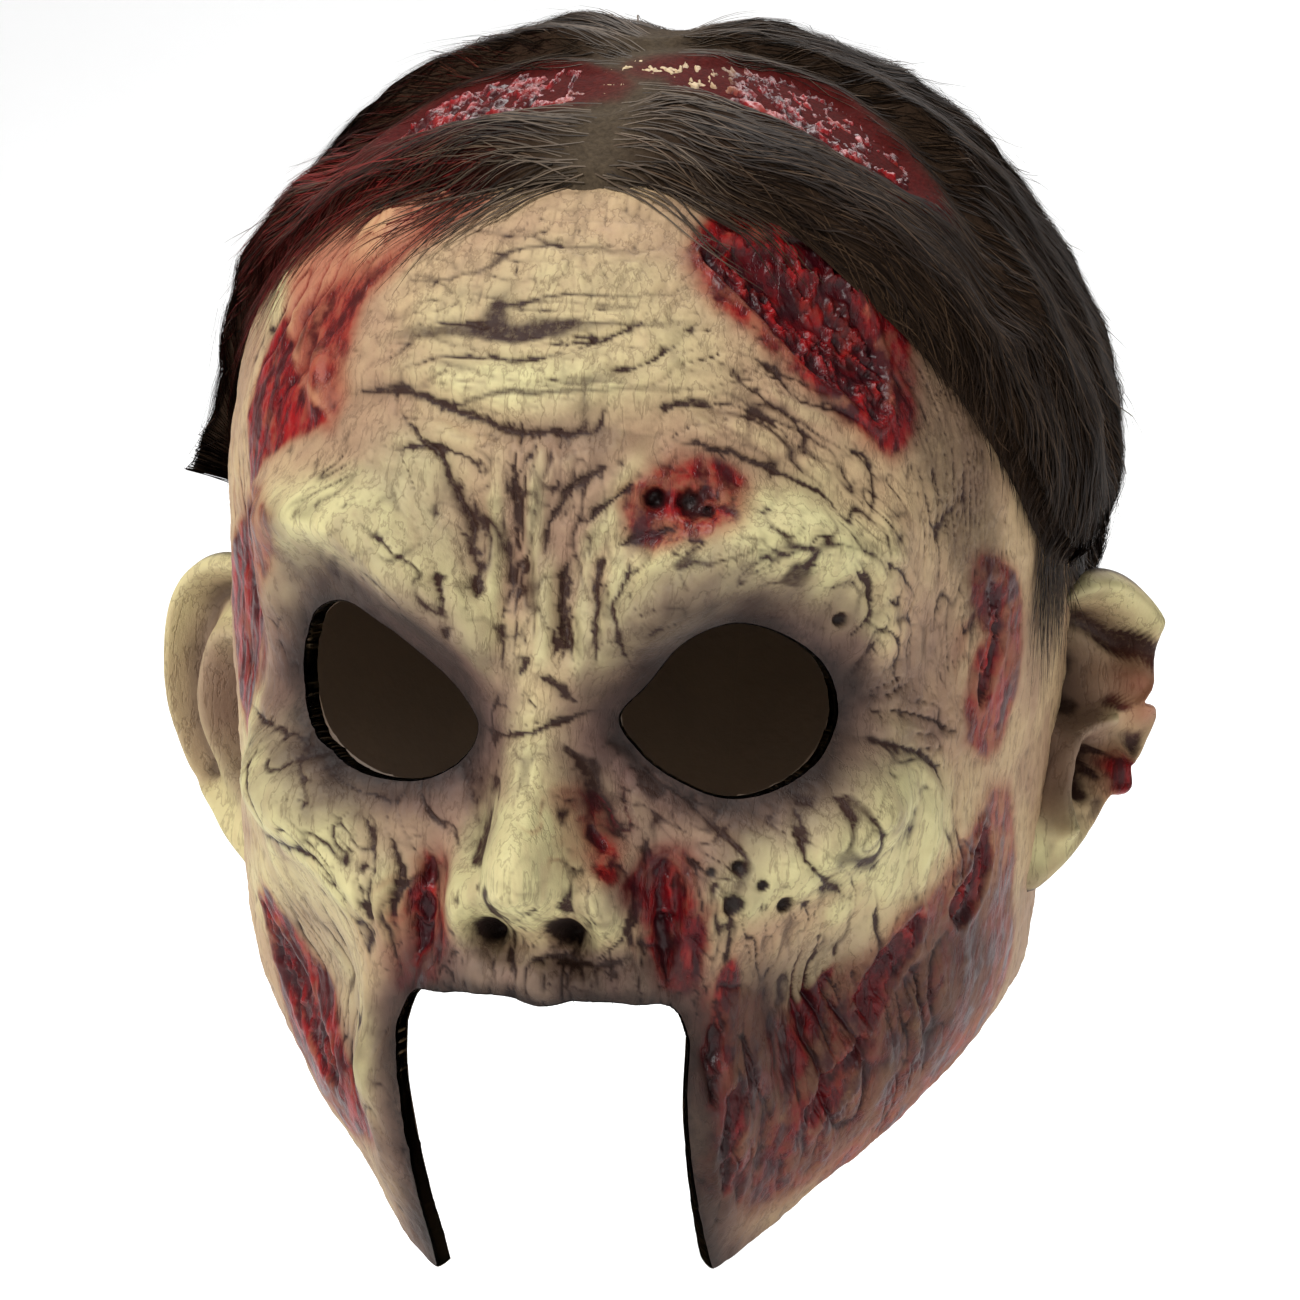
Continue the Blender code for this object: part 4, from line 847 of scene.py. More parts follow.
def drape(middle, reach, direction, spacing, length, height, layer, seed):
    """Broad folds that run one way about a place, with sharp beds between rounded backs."""
    middle = pinned([middle])
    if len(middle) == 0:
        return
    warp = (1.3 * WARP[..., 1], 1.3 * WARP[..., 0])
    where, along, over, far = patch(middle, reach, direction, warp)
    weight = np.exp(-0.9 * far)
    at = np.stack([along / length, over / (1.3 * spacing), np.full(along.shape, 0.71 * seed)], -1)
    back = np.abs(noise(at, 1.0, seed))
    push[where] += height * weight * (1.6 * np.sqrt(back + 0.01) - 0.75)
    bed = soft(-back, -0.15, -0.01)
    # The beds take the layer's colour and a dark wash of painted shade; the backs of bloody folds are made
    # pale as painted highlight.
    lay_mark(layer, where, weight * bed)
    lay_mark("wash", where, 0.8 * weight * bed ** 3)
    if layer == "blood":
        lay_mark("pale", where, 0.8 * weight * soft(back, 0.35, 0.75))


for number, row in enumerate(DRAPES):
    drape(*row, seed=900 + number)
for half, depth, darkness, line in CREASES:
    crease(rounded(pinned(line), 4), half, depth, darkness)
for row in SWELLS:
    swell(*row)
for number, row in enumerate(FURROWS):
    furrow(*row, seed=500 + number)
push -= furrowed
layers["wash"] = np.maximum(layers["wash"], furrow_stain_and_shade)
for row in WOUNDS:
    wound(*row)
for row in PAINT:
    paint(*row)

# The slits are raw flesh, and dry skin at their ends next to the parting
EVERYWHERE = (slice(None), slice(None))
flesh = soft(slit_share(base, 1.6), 0.2, 0.8) * soft(base[..., 2], -80, -60)
dry_end = np.where(base[..., 0] < 0, soft(base[..., 0], -14, 0), soft(-base[..., 0], -24, -12))
ridges = 1 - np.abs(rough(base * (1.0, 1.0, 0.6), 3.2, 171, 3))
push += flesh * 1.4 * (ridges ** 3 - 0.6)
lay_mark("blood", EVERYWHERE, flesh * (1 - dry_end))
# The low parts of the flesh are darkened with painted shade.
lay_mark("wash", EVERYWHERE, flesh * np.clip(1.3 * (1 - ridges), 0, 1) * (1 - 0.6 * dry_end))
for row in PITS:
    pit(*row)
print("deepest mark", round(float(push.min()), 2), "mm, highest", round(float(push.max()), 2), "mm")

# %% [markdown]
# The eye holes, the mouth with the open chin, and the lower edge are cut with scissors once the
# latex is out of its mould. Here the net's own points move onto each cut line, and a rim as thick as
# the latex goes in behind it.

# %% Cut lines
EYE_OUTLINE = (  # across, up on the wearer's left, up on the wearer's right
    (-1.00, -0.12, -0.30), (-0.74, 0.26, 0.10), (-0.38, 0.74, 0.42), (0.06, 0.99, 0.76),
    (0.48, 0.88, 1.00), (0.86, 0.52, 0.78), (1.00, -0.02, 0.16), (0.88, -0.54, -0.40),
    (0.52, -0.88, -0.78), (0.04, -1.00, -0.98), (-0.46, -0.80, -0.96), (-0.84, -0.48, -0.70),
)
LIP_EDGE = (  # across, up
    (-1.00, -0.60), (-0.93, 0.40), (-0.62, 0.90), (-0.25, 1.00), (0.05, 0.65), (0.30, 0.95),
    (0.65, 0.85), (0.93, 0.40), (1.00, -0.60),
)
JAW_EDGE = (  # back, drop
    (-0.10, 0.965), (0.10, 0.970), (0.20, 0.945), (0.32, 0.872), (0.42, 0.800), (0.52, 0.752),
    (0.64, 0.735), (0.80, 0.745), (1.15, 0.750),
)


def eye_line(side):
    corners = np.array([(row[0] * side, row[1 if side > 0 else 2]) for row in EYE_OUTLINE])
    outline = rounded(corners, 6, closed=True) * (EYE_WIDTH / 2, EYE_HEIGHT / 2)
    return outline + (side * EYE_SPACING / 2, -EYE_DROP)


def mouth_line():
    half = MOUTH_WIDTH / 2
    fine = np.linspace(-half, half, 61)
    up = smooth(column(LIP_EDGE, 0) * half, column(LIP_EDGE, 1) * MOUTH_ARCH, fine) - MOUTH_DROP
    deep = -1.2 * MASK_HEIGHT
    return np.vstack([[-half * CHIN_RIGHT, deep], np.stack([fine, up], -1),
                      [half * CHIN_LEFT, deep]])


def jaw_line():
    length = HEAD_FRONT + HEAD_BACK
    back = column(JAW_EDGE, 0) * length - HEAD_FRONT
    fine = np.linspace(back[0], back[-1], 90)
    up = smooth(back, -column(JAW_EDGE, 1) * MASK_HEIGHT, fine)
    deep = -1.3 * MASK_HEIGHT
    return np.vstack([[back[0], deep], np.stack([fine, up], -1), [back[-1], deep]])


def within(points, outline):
    """How far inside a cut line points are, seen straight on, in millimetres."""
    return inside_by(points[..., 0], points[..., 1], outline)


def painted_edges():
    """Black make-up round the eye holes and the mouth, widened to stand in for the shade of the sockets, a
    brown ring of painted shade outside it, and mauve further out, as bruise paint and painted shade.
    """
    flat = base[..., [0, 2]]
    front = base[..., 1] < 0
    for line, black, mauve in ((eye_line(1), 4.6, 18.0), (eye_line(-1), 4.6, 18.0),
                               (mouth_line(), 3.0, 10.0)):
        off = np.where(front, -within(flat, line), 1e3)
        off = off * (1 + 0.35 * WARP[..., 0]) + 0.5 * WOBBLE[..., 0]
        ring = 0.97 * np.exp(-(np.clip(off, 0, None) / black) ** 1.7)
        layers["soot"] = np.maximum(layers["soot"], ring)
        # Brown ring of painted shade round each opening.
        halo = 0.75 * np.exp(-(np.clip(off, 0, None) / (2.6 * black)) ** 1.7)
        layers["wash"] = np.maximum(layers["wash"], halo * (0.75 + 0.5 * WARP[..., 1]))
        layers["bruise"] = np.maximum(layers["bruise"], 0.85 * soft(-off, -mauve, -0.15 * mauve))


painted_edges()

# %% [markdown]
# Between the marks the skin has a leathery grain of its own. Painters of such masks wipe a dark wash
# over it: it stays in every hollow and comes off every height. The same is worked out here from the
# shape, and made strong enough to stand in for light and shade too: what lies lower than the skin
# around it is dark, as wash and painted shade, and what stands higher is pale, as dry paint and
# painted highlight.

# %% Grain, wash and painted light
grain = 0.16 * rough(base, 2.6, 91, 3) + 0.10 * (1 - 2 * np.abs(noise(base, 3.4, 95)))
push += grain
push += 0.5 * rough(base, 14.0, 97, 2)


def blurred(field, across, down):
    """Box blur over this many points each way, twice."""
    for _ in range(2):
        for axis, size in ((1, across), (0, down)):
            padded = np.pad(field, [(size, size) if k == axis else (0, 0) for k in (0, 1)],
                            mode="wrap" if axis == 1 else "edge")
            total = np.cumsum(padded, axis)
            total = np.concatenate([np.zeros_like(np.take(total, [0], axis)), total], axis)
            count = field.shape[axis]
            high = np.take(total, np.arange(2 * size + 1, 2 * size + 1 + count), axis)
            low = np.take(total, np.arange(0, count), axis)
            field = (high - low) / (2 * size + 1)
    return field


DEEPEST = 2.6  # clear of the inner sheet
push = np.maximum(push, -DEEPEST - 0.1 * np.exp(push / 3))
# Painted shade together with the wash: points lower than the skin around them are darkened, finely and
# broadly.
hollow = blurred(push, 3, 3) - push
broad = blurred(push, 12, 12) - push
layers["wash"] = np.maximum(layers["wash"], soft(hollow, 0.03, 0.40))
layers["wash"] = np.clip(layers["wash"] + 0.6 * soft(broad, 0.05, 1.0), 0, 1)
# Pale dry paint together with painted highlight: raised forms and heights are made pale.
layers["pale"] = np.clip(layers["pale"] + 0.7 * soft(forms, 1.0, 7.5) + 0.25 * soft(-broad, 0.1, 0.9),
                         0, 1)
# Mauve bruise paint together with painted shade: sunken forms get mauve.
layers["bruise"] = np.clip(layers["bruise"] + 0.5 * soft(-forms, 0.5, 5.0), 0, 1)
for name, field in layers.items():
    print(name, "covers", round(float((field > 0.5).mean() * 100), 1), "% of the net")


def cut_depth(points):
    """How far inside any opening each point is, in millimetres."""
    depth = within(points[..., [1, 2]], jaw_line())
    front = points[..., 1] < 0
    flat = points[..., [0, 2]]
    for line in (eye_line(1), eye_line(-1), mouth_line()):
        depth = np.maximum(depth, np.where(front, within(flat, line), -1e3))
    return depth


smooth_push = blurred(push, 4, 4)
skin = base + normal * push[..., None]
cut = cut_depth(base + normal * smooth_push[..., None])


def sampled(field, rows_at, columns_at):
    """The field read between the net's points."""
    r = np.clip(np.floor(rows_at).astype(int), 0, field.shape[0] - 2)
    c = np.clip(np.floor(columns_at).astype(int), 0, field.shape[1] - 2)
    u, v = rows_at - r, columns_at - c
    if field.ndim == 3:
        u, v = u[..., None], v[..., None]
    return ((field[r, c] * (1 - v) + field[r, c + 1] * v) * (1 - u)
            + (field[r + 1, c] * (1 - v) + field[r + 1, c + 1] * v) * u)


def trimmed(cut, stride=1):
    """Faces left by the cut, and where each of their corners moves to on the net."""
    r = np.arange(0, cut.shape[0], stride)
    c = np.arange(0, cut.shape[1], stride)
    if c[-1] != cut.shape[1] - 1:
        c = np.append(c, cut.shape[1] - 1)
    if r[-1] != cut.shape[0] - 1:
        r = np.append(r, cut.shape[0] - 1)
    coarse = cut[np.ix_(r, c)]
    gone = coarse > 0
    kept = ~(gone[:-1, :-1] & gone[1:, :-1] & gone[:-1, 1:] & gone[1:, 1:])
    used = np.zeros(coarse.shape, bool)
    for dr in (0, 1):
        for dc in (0, 1):
            used[dr:dr + kept.shape[0], dc:dc + kept.shape[1]] |= kept
    rows_at, columns_at = (g.astype(float) for g in np.meshgrid(r, c, indexing="ij"))
    down, side = np.gradient(cut)
    moving = used & gone
    start_r, start_c = rows_at[moving], columns_at[moving]
    at_r, at_c = start_r.copy(), start_c.copy()
    for _ in range(4):
        value = sampled(cut, at_r, at_c)
        gr, gc = sampled(down, at_r, at_c), sampled(side, at_r, at_c)
        size = np.maximum(gr ** 2 + gc ** 2, 1e-4)
        at_r = np.clip(at_r - value * gr / size, start_r - stride, start_r + stride)
        at_c = np.clip(at_c - value * gc / size, start_c - stride, start_c + stride)
    rows_at[moving] = np.clip(at_r, 0, cut.shape[0] - 1)
    columns_at[moving] = np.clip(at_c, 0, cut.shape[1] - 1)
    return kept, used, rows_at, columns_at


kept, used, rows_at, columns_at = trimmed(cut)
shape = sampled(skin, rows_at, columns_at)
along = np.gradient(shape, axis=1)
down = np.gradient(shape, axis=0)
facing = np.cross(down, along)
facing /= np.maximum(np.linalg.norm(facing, axis=-1, keepdims=True), 1e-9)
seam = facing[:, 0] + facing[:, -1]
facing[:, 0] = facing[:, -1] = seam / np.linalg.norm(seam, axis=-1, keepdims=True)
cast_facing = sampled(normal, rows_at, columns_at)
worn = {name: sampled(field, rows_at, columns_at) for name, field in layers.items()}
print("cut net keeps", int(kept.sum()), "faces")

# %% [markdown]
# The colours are node materials that read the marks left on the net: dry latex skin from tan to
# pale yellow green, the pale partly painted highlight, mauve bruise paint and painted shade, brown
# wash with painted shade, flesh and blood. Blood is glossy, because it is painted on last with a
# gloss lacquer. Finer pores come from procedural bumps.


# %% Node helpers
def new_material(name):
    made = bpy.data.materials.new(name)
    made.use_nodes = True
    tree = made.node_tree
    shader = tree.nodes["Principled BSDF"]
    return made, tree, shader


def node(tree, kind, settings=None, **inputs):
    made = tree.nodes.new(kind)
    for key, value in (settings or {}).items():
        setattr(made, key, value)
    for key, value in inputs.items():
        socket = made.inputs[key.replace("_", " ")]
        if isinstance(value, bpy.types.NodeSocket):
            tree.links.new(value, socket)
        else:
            socket.default_value = value
    return made


def read(tree, name):
    return node(tree, "ShaderNodeAttribute", {"attribute_name": name}).outputs["Fac"]


def grit(tree, scale, detail=4.0, rough=0.55, squash=None):
    """Procedural noise on the piece's own coordinates, scale in lumps per metre."""
    at = node(tree, "ShaderNodeTexCoord").outputs["Object"]
    if squash:
        at = node(tree, "ShaderNodeMapping", Vector=at, Scale=squash).outputs["Vector"]
    return node(tree, "ShaderNodeTexNoise", Vector=at, Scale=scale, Detail=detail,
                Roughness=rough).outputs["Fac"]


def math_node(tree, operation, *values, clamp=False):
    made = node(tree, "ShaderNodeMath", {"operation": operation, "use_clamp": clamp})
    for socket, value in zip(made.inputs, values):
        if isinstance(value, bpy.types.NodeSocket):
            tree.links.new(value, socket)
        else:
            socket.default_value = value
    return made.outputs["Value"]


def band(tree, value, low, high, start=0.0, end=1.0):
    made = node(tree, "ShaderNodeMapRange", {"interpolation_type": "SMOOTHSTEP"})
    for key, item in (("Value", value), ("From Min", low), ("From Max", high),
                      ("To Min", start), ("To Max", end)):
        socket = made.inputs[key]
        if isinstance(item, bpy.types.NodeSocket):
            tree.links.new(item, socket)
        else:
            socket.default_value = item
    return made.outputs["Result"]


def mixed(tree, share, first, second):
    made = node(tree, "ShaderNodeMix", {"data_type": "RGBA"})
    for socket, value in ((made.inputs[0], share), (made.inputs[6], first), (made.inputs[7], second)):
        if isinstance(value, bpy.types.NodeSocket):
            tree.links.new(value, socket)
        else:
            socket.default_value = value
    return made.outputs[2]


def colour(code):
    """Linear colour from a paint code like b79a72."""
    part = [int(code[k:k + 2], 16) / 255 for k in (0, 2, 4)]
    return tuple(v / 12.92 if v <= 0.04045 else ((v + 0.055) / 1.055) ** 2.4 for v in part) + (1.0,)


# %% Painted latex
def painted_latex(name):
    made, tree, shader = new_material(name)
    patches = grit(tree, 45.0, 3.0)
    speckle = grit(tree, 700.0, 5.0, 0.7)
    streaks = grit(tree, 260.0, 4.0, 0.6, (1.0, 1.0, 0.25))
    off_middle = math_node(tree, "ABSOLUTE", math_node(tree, "SUBTRACT", streaks, 0.5))
    crackle = band(tree, off_middle, 0.0, 0.035, 1.0, 0.0)
    tone = mixed(tree, band(tree, patches, 0.35, 0.65), colour("b09672"), colour("9b7d62"))
    tone = mixed(tree, band(tree, speckle, 0.5, 0.8, 0.0, 0.5), tone, colour("86664e"))
    # Pale dry paint with painted highlight on the raised forms.
    pale = math_node(tree, "MULTIPLY", read(tree, "pale"), band(tree, streaks, 0.25, 0.6, 0.65, 1.0))
    tone = mixed(tree, pale, tone, mixed(tree, patches, colour("cdc692"), colour("b3a679")))
    # Mauve bruise paint with painted shade.
    tone = mixed(tree, math_node(tree, "MULTIPLY", read(tree, "bruise"), 0.9), tone,
                 mixed(tree, streaks, colour("624644"), colour("876a60")))
    # Dark crackle lines in the grooves of the fine bump, as stain and painted shade.
    tone = mixed(tree, math_node(tree, "MULTIPLY", crackle, 0.32), tone, colour("4a3222"))
    # Brown wash with painted shade in the hollows.
    wash = math_node(tree, "MULTIPLY", read(tree, "wash"), band(tree, speckle, 0.2, 0.6, 0.8, 1.05))
    tone = mixed(tree, math_node(tree, "MINIMUM", wash, 1.0), tone, colour("2e1a12"))
    tone = mixed(tree, read(tree, "raw"), tone, mixed(tree, streaks, colour("8e2a1e"), colour("b0583f")))
    blood = read(tree, "blood")
    glaze = mixed(tree, blood, (1, 1, 1, 1), colour("b8402e"))
    stained_tone = node(tree, "ShaderNodeMix", {"data_type": "RGBA", "blend_type": "MULTIPLY"})
    stained_tone.inputs[0].default_value = 1.0
    tree.links.new(tone, stained_tone.inputs[6])
    tree.links.new(glaze, stained_tone.inputs[7])
    tone = stained_tone.outputs[2]
    drip = math_node(tree, "MULTIPLY", blood, band(tree, streaks, 0.2, 0.6, 0.6, 1.25))
    drip = math_node(tree, "MULTIPLY", drip, band(tree, grit(tree, 140.0, 4.0, 0.6), 0.32, 0.62, 0.62, 1.2))
    drip = band(tree, drip, 0.38, 1.0)
    red = mixed(tree, band(tree, streaks, 0.35, 0.6), colour("8c0a0e"), colour("3c0507"))
    # Blood is darker in the hollows, as painted shade.
    red = mixed(tree, math_node(tree, "MULTIPLY", read(tree, "wash"), 0.75), red, colour("20030a"))
    tone = mixed(tree, drip, tone, red)
    # Black make-up with painted shade.
    soot = math_node(tree, "MULTIPLY", read(tree, "soot"), band(tree, speckle, 0.2, 0.7, 1.0, 0.75))
    tone = mixed(tree, soot, tone, colour("17100e"))
    tone = mixed(tree, read(tree, "bare"), tone, colour("8e7350"))
    tree.links.new(tone, shader.inputs["Base Color"])
    wet = math_node(tree, "MAXIMUM", drip, math_node(tree, "MULTIPLY", read(tree, "raw"), 0.7))
    tree.links.new(band(tree, wet, 0.1, 0.9, 0.60, 0.38), shader.inputs["Roughness"])
    shader.inputs["Specular IOR Level"].default_value = 0.22
    pores = grit(tree, 1500.0, 4.0, 0.65)
    lines = grit(tree, 900.0, 3.0, 0.6, (1.0, 1.0, 0.35))
    height = math_node(tree, "ADD", math_node(tree, "MULTIPLY", pores, 0.5), lines)
    height = math_node(tree, "SUBTRACT", height, math_node(tree, "MULTIPLY", crackle, 0.8))
    bump = node(tree, "ShaderNodeBump", Height=height, Strength=0.35, Distance=0.0004)
    tree.links.new(bump.outputs["Normal"], shader.inputs["Normal"])
    return made


# The inside is unpainted latex, coloured darker than it is as painted shade, so that the eye holes and the
# mouth look dark.
def shaded_inner_latex(name):
    made, tree, shader = new_material(name)
    patches = grit(tree, 60.0, 4.0)
    tone = mixed(tree, patches, colour("5a452f"), colour("483624"))
    tree.links.new(tone, shader.inputs["Base Color"])
    shader.inputs["Roughness"].default_value = 0.6
    bump = node(tree, "ShaderNodeBump", Height=grit(tree, 500.0, 5.0), Strength=0.3, Distance=0.0004)
    tree.links.new(bump.outputs["Normal"], shader.inputs["Normal"])
    return made


SKIN = painted_latex("painted_latex")
SHADED_INSIDE = shaded_inner_latex("shaded_inner_latex")

# %% [markdown]
# The skin is shown in three pieces, because one net this fine is too heavy for one piece. They share
# the points and the shading directions along their joins, so no seam shows.


# %% Skin pieces
def solid_piece(name, points, faces, finish, normals=None, marks=None):
    """A shaded mesh piece from points in millimetres."""
    mesh = bpy.data.meshes.new(name)
    mesh.from_pydata((np.asarray(points) * METRES).tolist(), [], faces)
    mesh.materials.append(finish)
    mesh.polygons.foreach_set("use_smooth", [True] * len(mesh.polygons))
    for key, values in (marks or {}).items():
        layer = mesh.attributes.new(key, "FLOAT", "POINT")
        layer.data.foreach_set("value", np.asarray(values, np.float32))
    if normals is not None:
        mesh.normals_split_custom_set_from_vertices(np.asarray(normals).tolist())
    made = bpy.data.objects.new(name, mesh)
    bpy.context.scene.collection.objects.link(made)
    return made


def net_faces(kept, low, high):
    """Corners of the kept faces in these rows, numbered along the whole net."""
    r, c = np.nonzero(kept[low:high])
    r = r + low
    wide = kept.shape[1] + 1
    return np.stack([r * wide + c, (r + 1) * wide + c, (r + 1) * wide + c + 1, r * wide + c + 1], -1)


def border(kept):
    """Edges along the cut, as pairs of net points with the face on their left."""
    wide = kept.shape[1] + 1
    edges = []
    left, right = np.roll(kept, 1, 1), np.roll(kept, -1, 1)
    above = np.vstack([np.ones((1, kept.shape[1]), bool), kept[:-1]])
    below = np.vstack([kept[1:], np.zeros((1, kept.shape[1]), bool)])
    for open_side, first, second in ((kept & ~left, (0, 0), (1, 0)), (kept & ~below, (1, 0), (1, 1)),
                                     (kept & ~right, (1, 1), (0, 1)), (kept & ~above, (0, 1), (0, 0))):
        r, c = np.nonzero(open_side)
        edges.append(np.stack([(r + first[0]) * wide + c + first[1],
                               (r + second[0]) * wide + c + second[1]], -1))
    return np.vstack(edges)


INSIDE = WALL + 0.8  # the inner sheet lies a little deeper than the wall, clear of the deepest pits
flat_shape, flat_facing = shape.reshape(-1, 3), facing.reshape(-1, 3)
flat_cast = cast_facing.reshape(-1, 3)
flat_marks = {name: field.reshape(-1) for name, field in worn.items()}
down_cut, side_cut = np.gradient(cut)
steep = (along * (sampled(side_cut, rows_at, columns_at) / (along ** 2).sum(-1))[..., None]
         + down * (sampled(down_cut, rows_at, columns_at) / (down ** 2).sum(-1))[..., None])
flat_steep = steep.reshape(-1, 3)


def rim(edges):
    """A strip from the cut line inward, as thick as the latex, with softened corners."""
    points, index = np.unique(edges, return_inverse=True)
    index = index.reshape(edges.shape)
    push_out = flat_steep[points].copy()
    facing_here = flat_cast[points]
    push_out -= facing_here * (push_out * facing_here).sum(1, keepdims=True)
    push_out /= np.maximum(np.linalg.norm(push_out, axis=1, keepdims=True), 1e-9)
    rings, turned, bare = [], [], []
    for out, deep, lean, plain in ((0.0, 0.0, 0.0, 0.0), (0.22, 0.22, 0.7, 0.15), (0.35, 0.8, 1.0, 0.8),
                                   (0.30, 1.8, 1.0, 1.0), (0.0, INSIDE + 0.1, 1.0, 1.0)):
        rings.append(flat_shape[points] + push_out * out - facing_here * deep)
        turn = flat_facing[points] * (1 - lean) + push_out * lean
        turned.append(turn / np.linalg.norm(turn, axis=1, keepdims=True))
        bare.append(np.full(len(points), plain))
    count = len(points)
    faces = [(k * count + a, k * count + b, (k + 1) * count + b, (k + 1) * count + a)
             for k in range(len(rings) - 1) for a, b in index]
    marks = {name: np.tile(field[points], len(rings)) for name, field in flat_marks.items()}
    for name in ("wash", "blood", "raw"):
        marks[name][count:] *= 0.2
    marks["bare"] = np.concatenate(bare)
    return np.vstack(rings), faces, np.vstack(turned), marks


rim_points, rim_faces, rim_turned, rim_marks = rim(border(kept))
row_count = kept.sum(1).cumsum()
stops = [0] + [int(np.searchsorted(row_count, row_count[-1] * k / 3)) for k in (1, 2)] + [kept.shape[0]]
skin_pieces = []
for name, low, high in zip(("skin_brow", "skin_face", "skin_jaw"), stops, stops[1:]):
    faces = net_faces(kept, low, high)
    points, index = np.unique(faces, return_inverse=True)
    index = index.reshape(faces.shape)
    corners, turned = flat_shape[points], flat_facing[points]
    marks = {key: field[points] for key, field in flat_marks.items()}
    marks["bare"] = np.zeros(len(points))
    face_list = index.tolist()
    if low == 0:
        crown = skin_point(0.0, 0.0)
        first = [int(k) for k in np.searchsorted(points, np.arange(kept.shape[1] + 1))]
        face_list += [(len(points), a, b) for a, b in zip(first, first[1:])]
        corners, turned = np.vstack([corners, crown]), np.vstack([turned, (0, 0, 1)])
        marks = {key: np.append(field, 0) for key, field in marks.items()}
    if name == "skin_jaw":
        face_list += [tuple(len(corners) + k for k in face) for face in rim_faces]
        corners, turned = np.vstack([corners, rim_points]), np.vstack([turned, rim_turned])
        marks = {key: np.concatenate([field, rim_marks[key]]) for key, field in marks.items()}
    piece = solid_piece(name, corners, face_list, SKIN, turned, marks)
    skin_pieces.append(piece)
    print(name, "has", len(face_list), "faces")

# %% The plain inside of the cast
coarse_kept, _, coarse_r, coarse_c = trimmed(cut, 4)
inner = sampled(base - normal * INSIDE, coarse_r, coarse_c).reshape(-1, 3)
faces = net_faces(coarse_kept, 0, coarse_kept.shape[0])[:, ::-1]
points, index = np.unique(faces, return_inverse=True)
inner_faces = index.reshape(faces.shape).tolist()
first = [int(k) for k in np.searchsorted(points, np.arange(coarse_kept.shape[1] + 1))]
inner_faces += [(b, a, len(points)) for a, b in zip(first, first[1:])]
inner_points = np.vstack([inner[points], skin_point(0.0, 0.0) - (0, 0, INSIDE)])
skin_inside = solid_piece("skin_inside", inner_points, inner_faces, SHADED_INSIDE)
skin_pieces.append(skin_inside)

# %% [markdown]
# The ears are cast with the mask. Each is a dished leaf with a rolled rim, an inner fold and a bowl.
# One side of the mask is still human, the other is eaten away, so the same leaf gets bites and holes.

# %% Ears
EAR_OUTLINE = (  # across, up
    (0.22, 0.93), (0.52, 1.00), (0.82, 0.86), (0.98, 0.50), (1.00, 0.12), (0.88, -0.24),
    (0.72, -0.50), (0.50, -0.80), (0.28, -1.00), (0.06, -0.90), (0.00, -0.50), (0.00, 0.00),
    (0.02, 0.52),
)
EAR_BITES = ((33, 9, 0.34), (-26, 9, 0.22), (-52, 8, 0.16))  # turn, half width, depth
EARS = (  # name, side, drop, height, flare
    ("ear_left", 1, 0.975, 0.985, 42.0),
    ("ear_right", -1, 1.025, 1.030, 58.0),
)


def ear_frame(side, drop, flare):
    """Corner of the ear on the head, and its across, up and outward directions."""
    root = skin_point(side * math.radians(EAR_TURN), fall_of(-drop), -EAR_ROOT)
    flare, lean = math.radians(flare), math.radians(EAR_LEAN)
    across = np.array([side * math.sin(flare), math.cos(flare), 0])
    out = np.array([side * math.cos(flare), -math.sin(flare), 0])
    up = np.array([0, 0, 1.0])
    return (root, across * math.cos(lean) - up * math.sin(lean),
            up * math.cos(lean) + across * math.sin(lean), out)


def ear_reach(turn, height, bites):
    """Distance from the ear's middle to its outline in each direction."""
    outline = rounded(EAR_OUTLINE, 8, closed=True) * (EAR_WIDTH, height / 2)
    arm = outline - (0.45 * EAR_WIDTH, 0)
    angle = np.arctan2(arm[:, 1], arm[:, 0])
    order = np.argsort(angle)
    reach = np.interp(turn, angle[order], np.hypot(*arm.T)[order], period=2 * math.pi)
    for at, half, depth in bites:
        off = (np.degrees(turn) - at + 180) % 360 - 180
        reach = reach * (1 - depth * np.exp(-(off / half) ** 2))
    return reach


def ridge(x, y, line, half):
    """A band along a line on the ear, 1 in its middle, in shares of its width and half height."""
    best = np.full(np.shape(x), 1e9)
    line = rounded(line, 5)
    for start, end in zip(line, line[1:]):
        best = np.minimum(best, off_stretch(x, y, start, end)[0])
    return np.exp(-(best / half) ** 2)


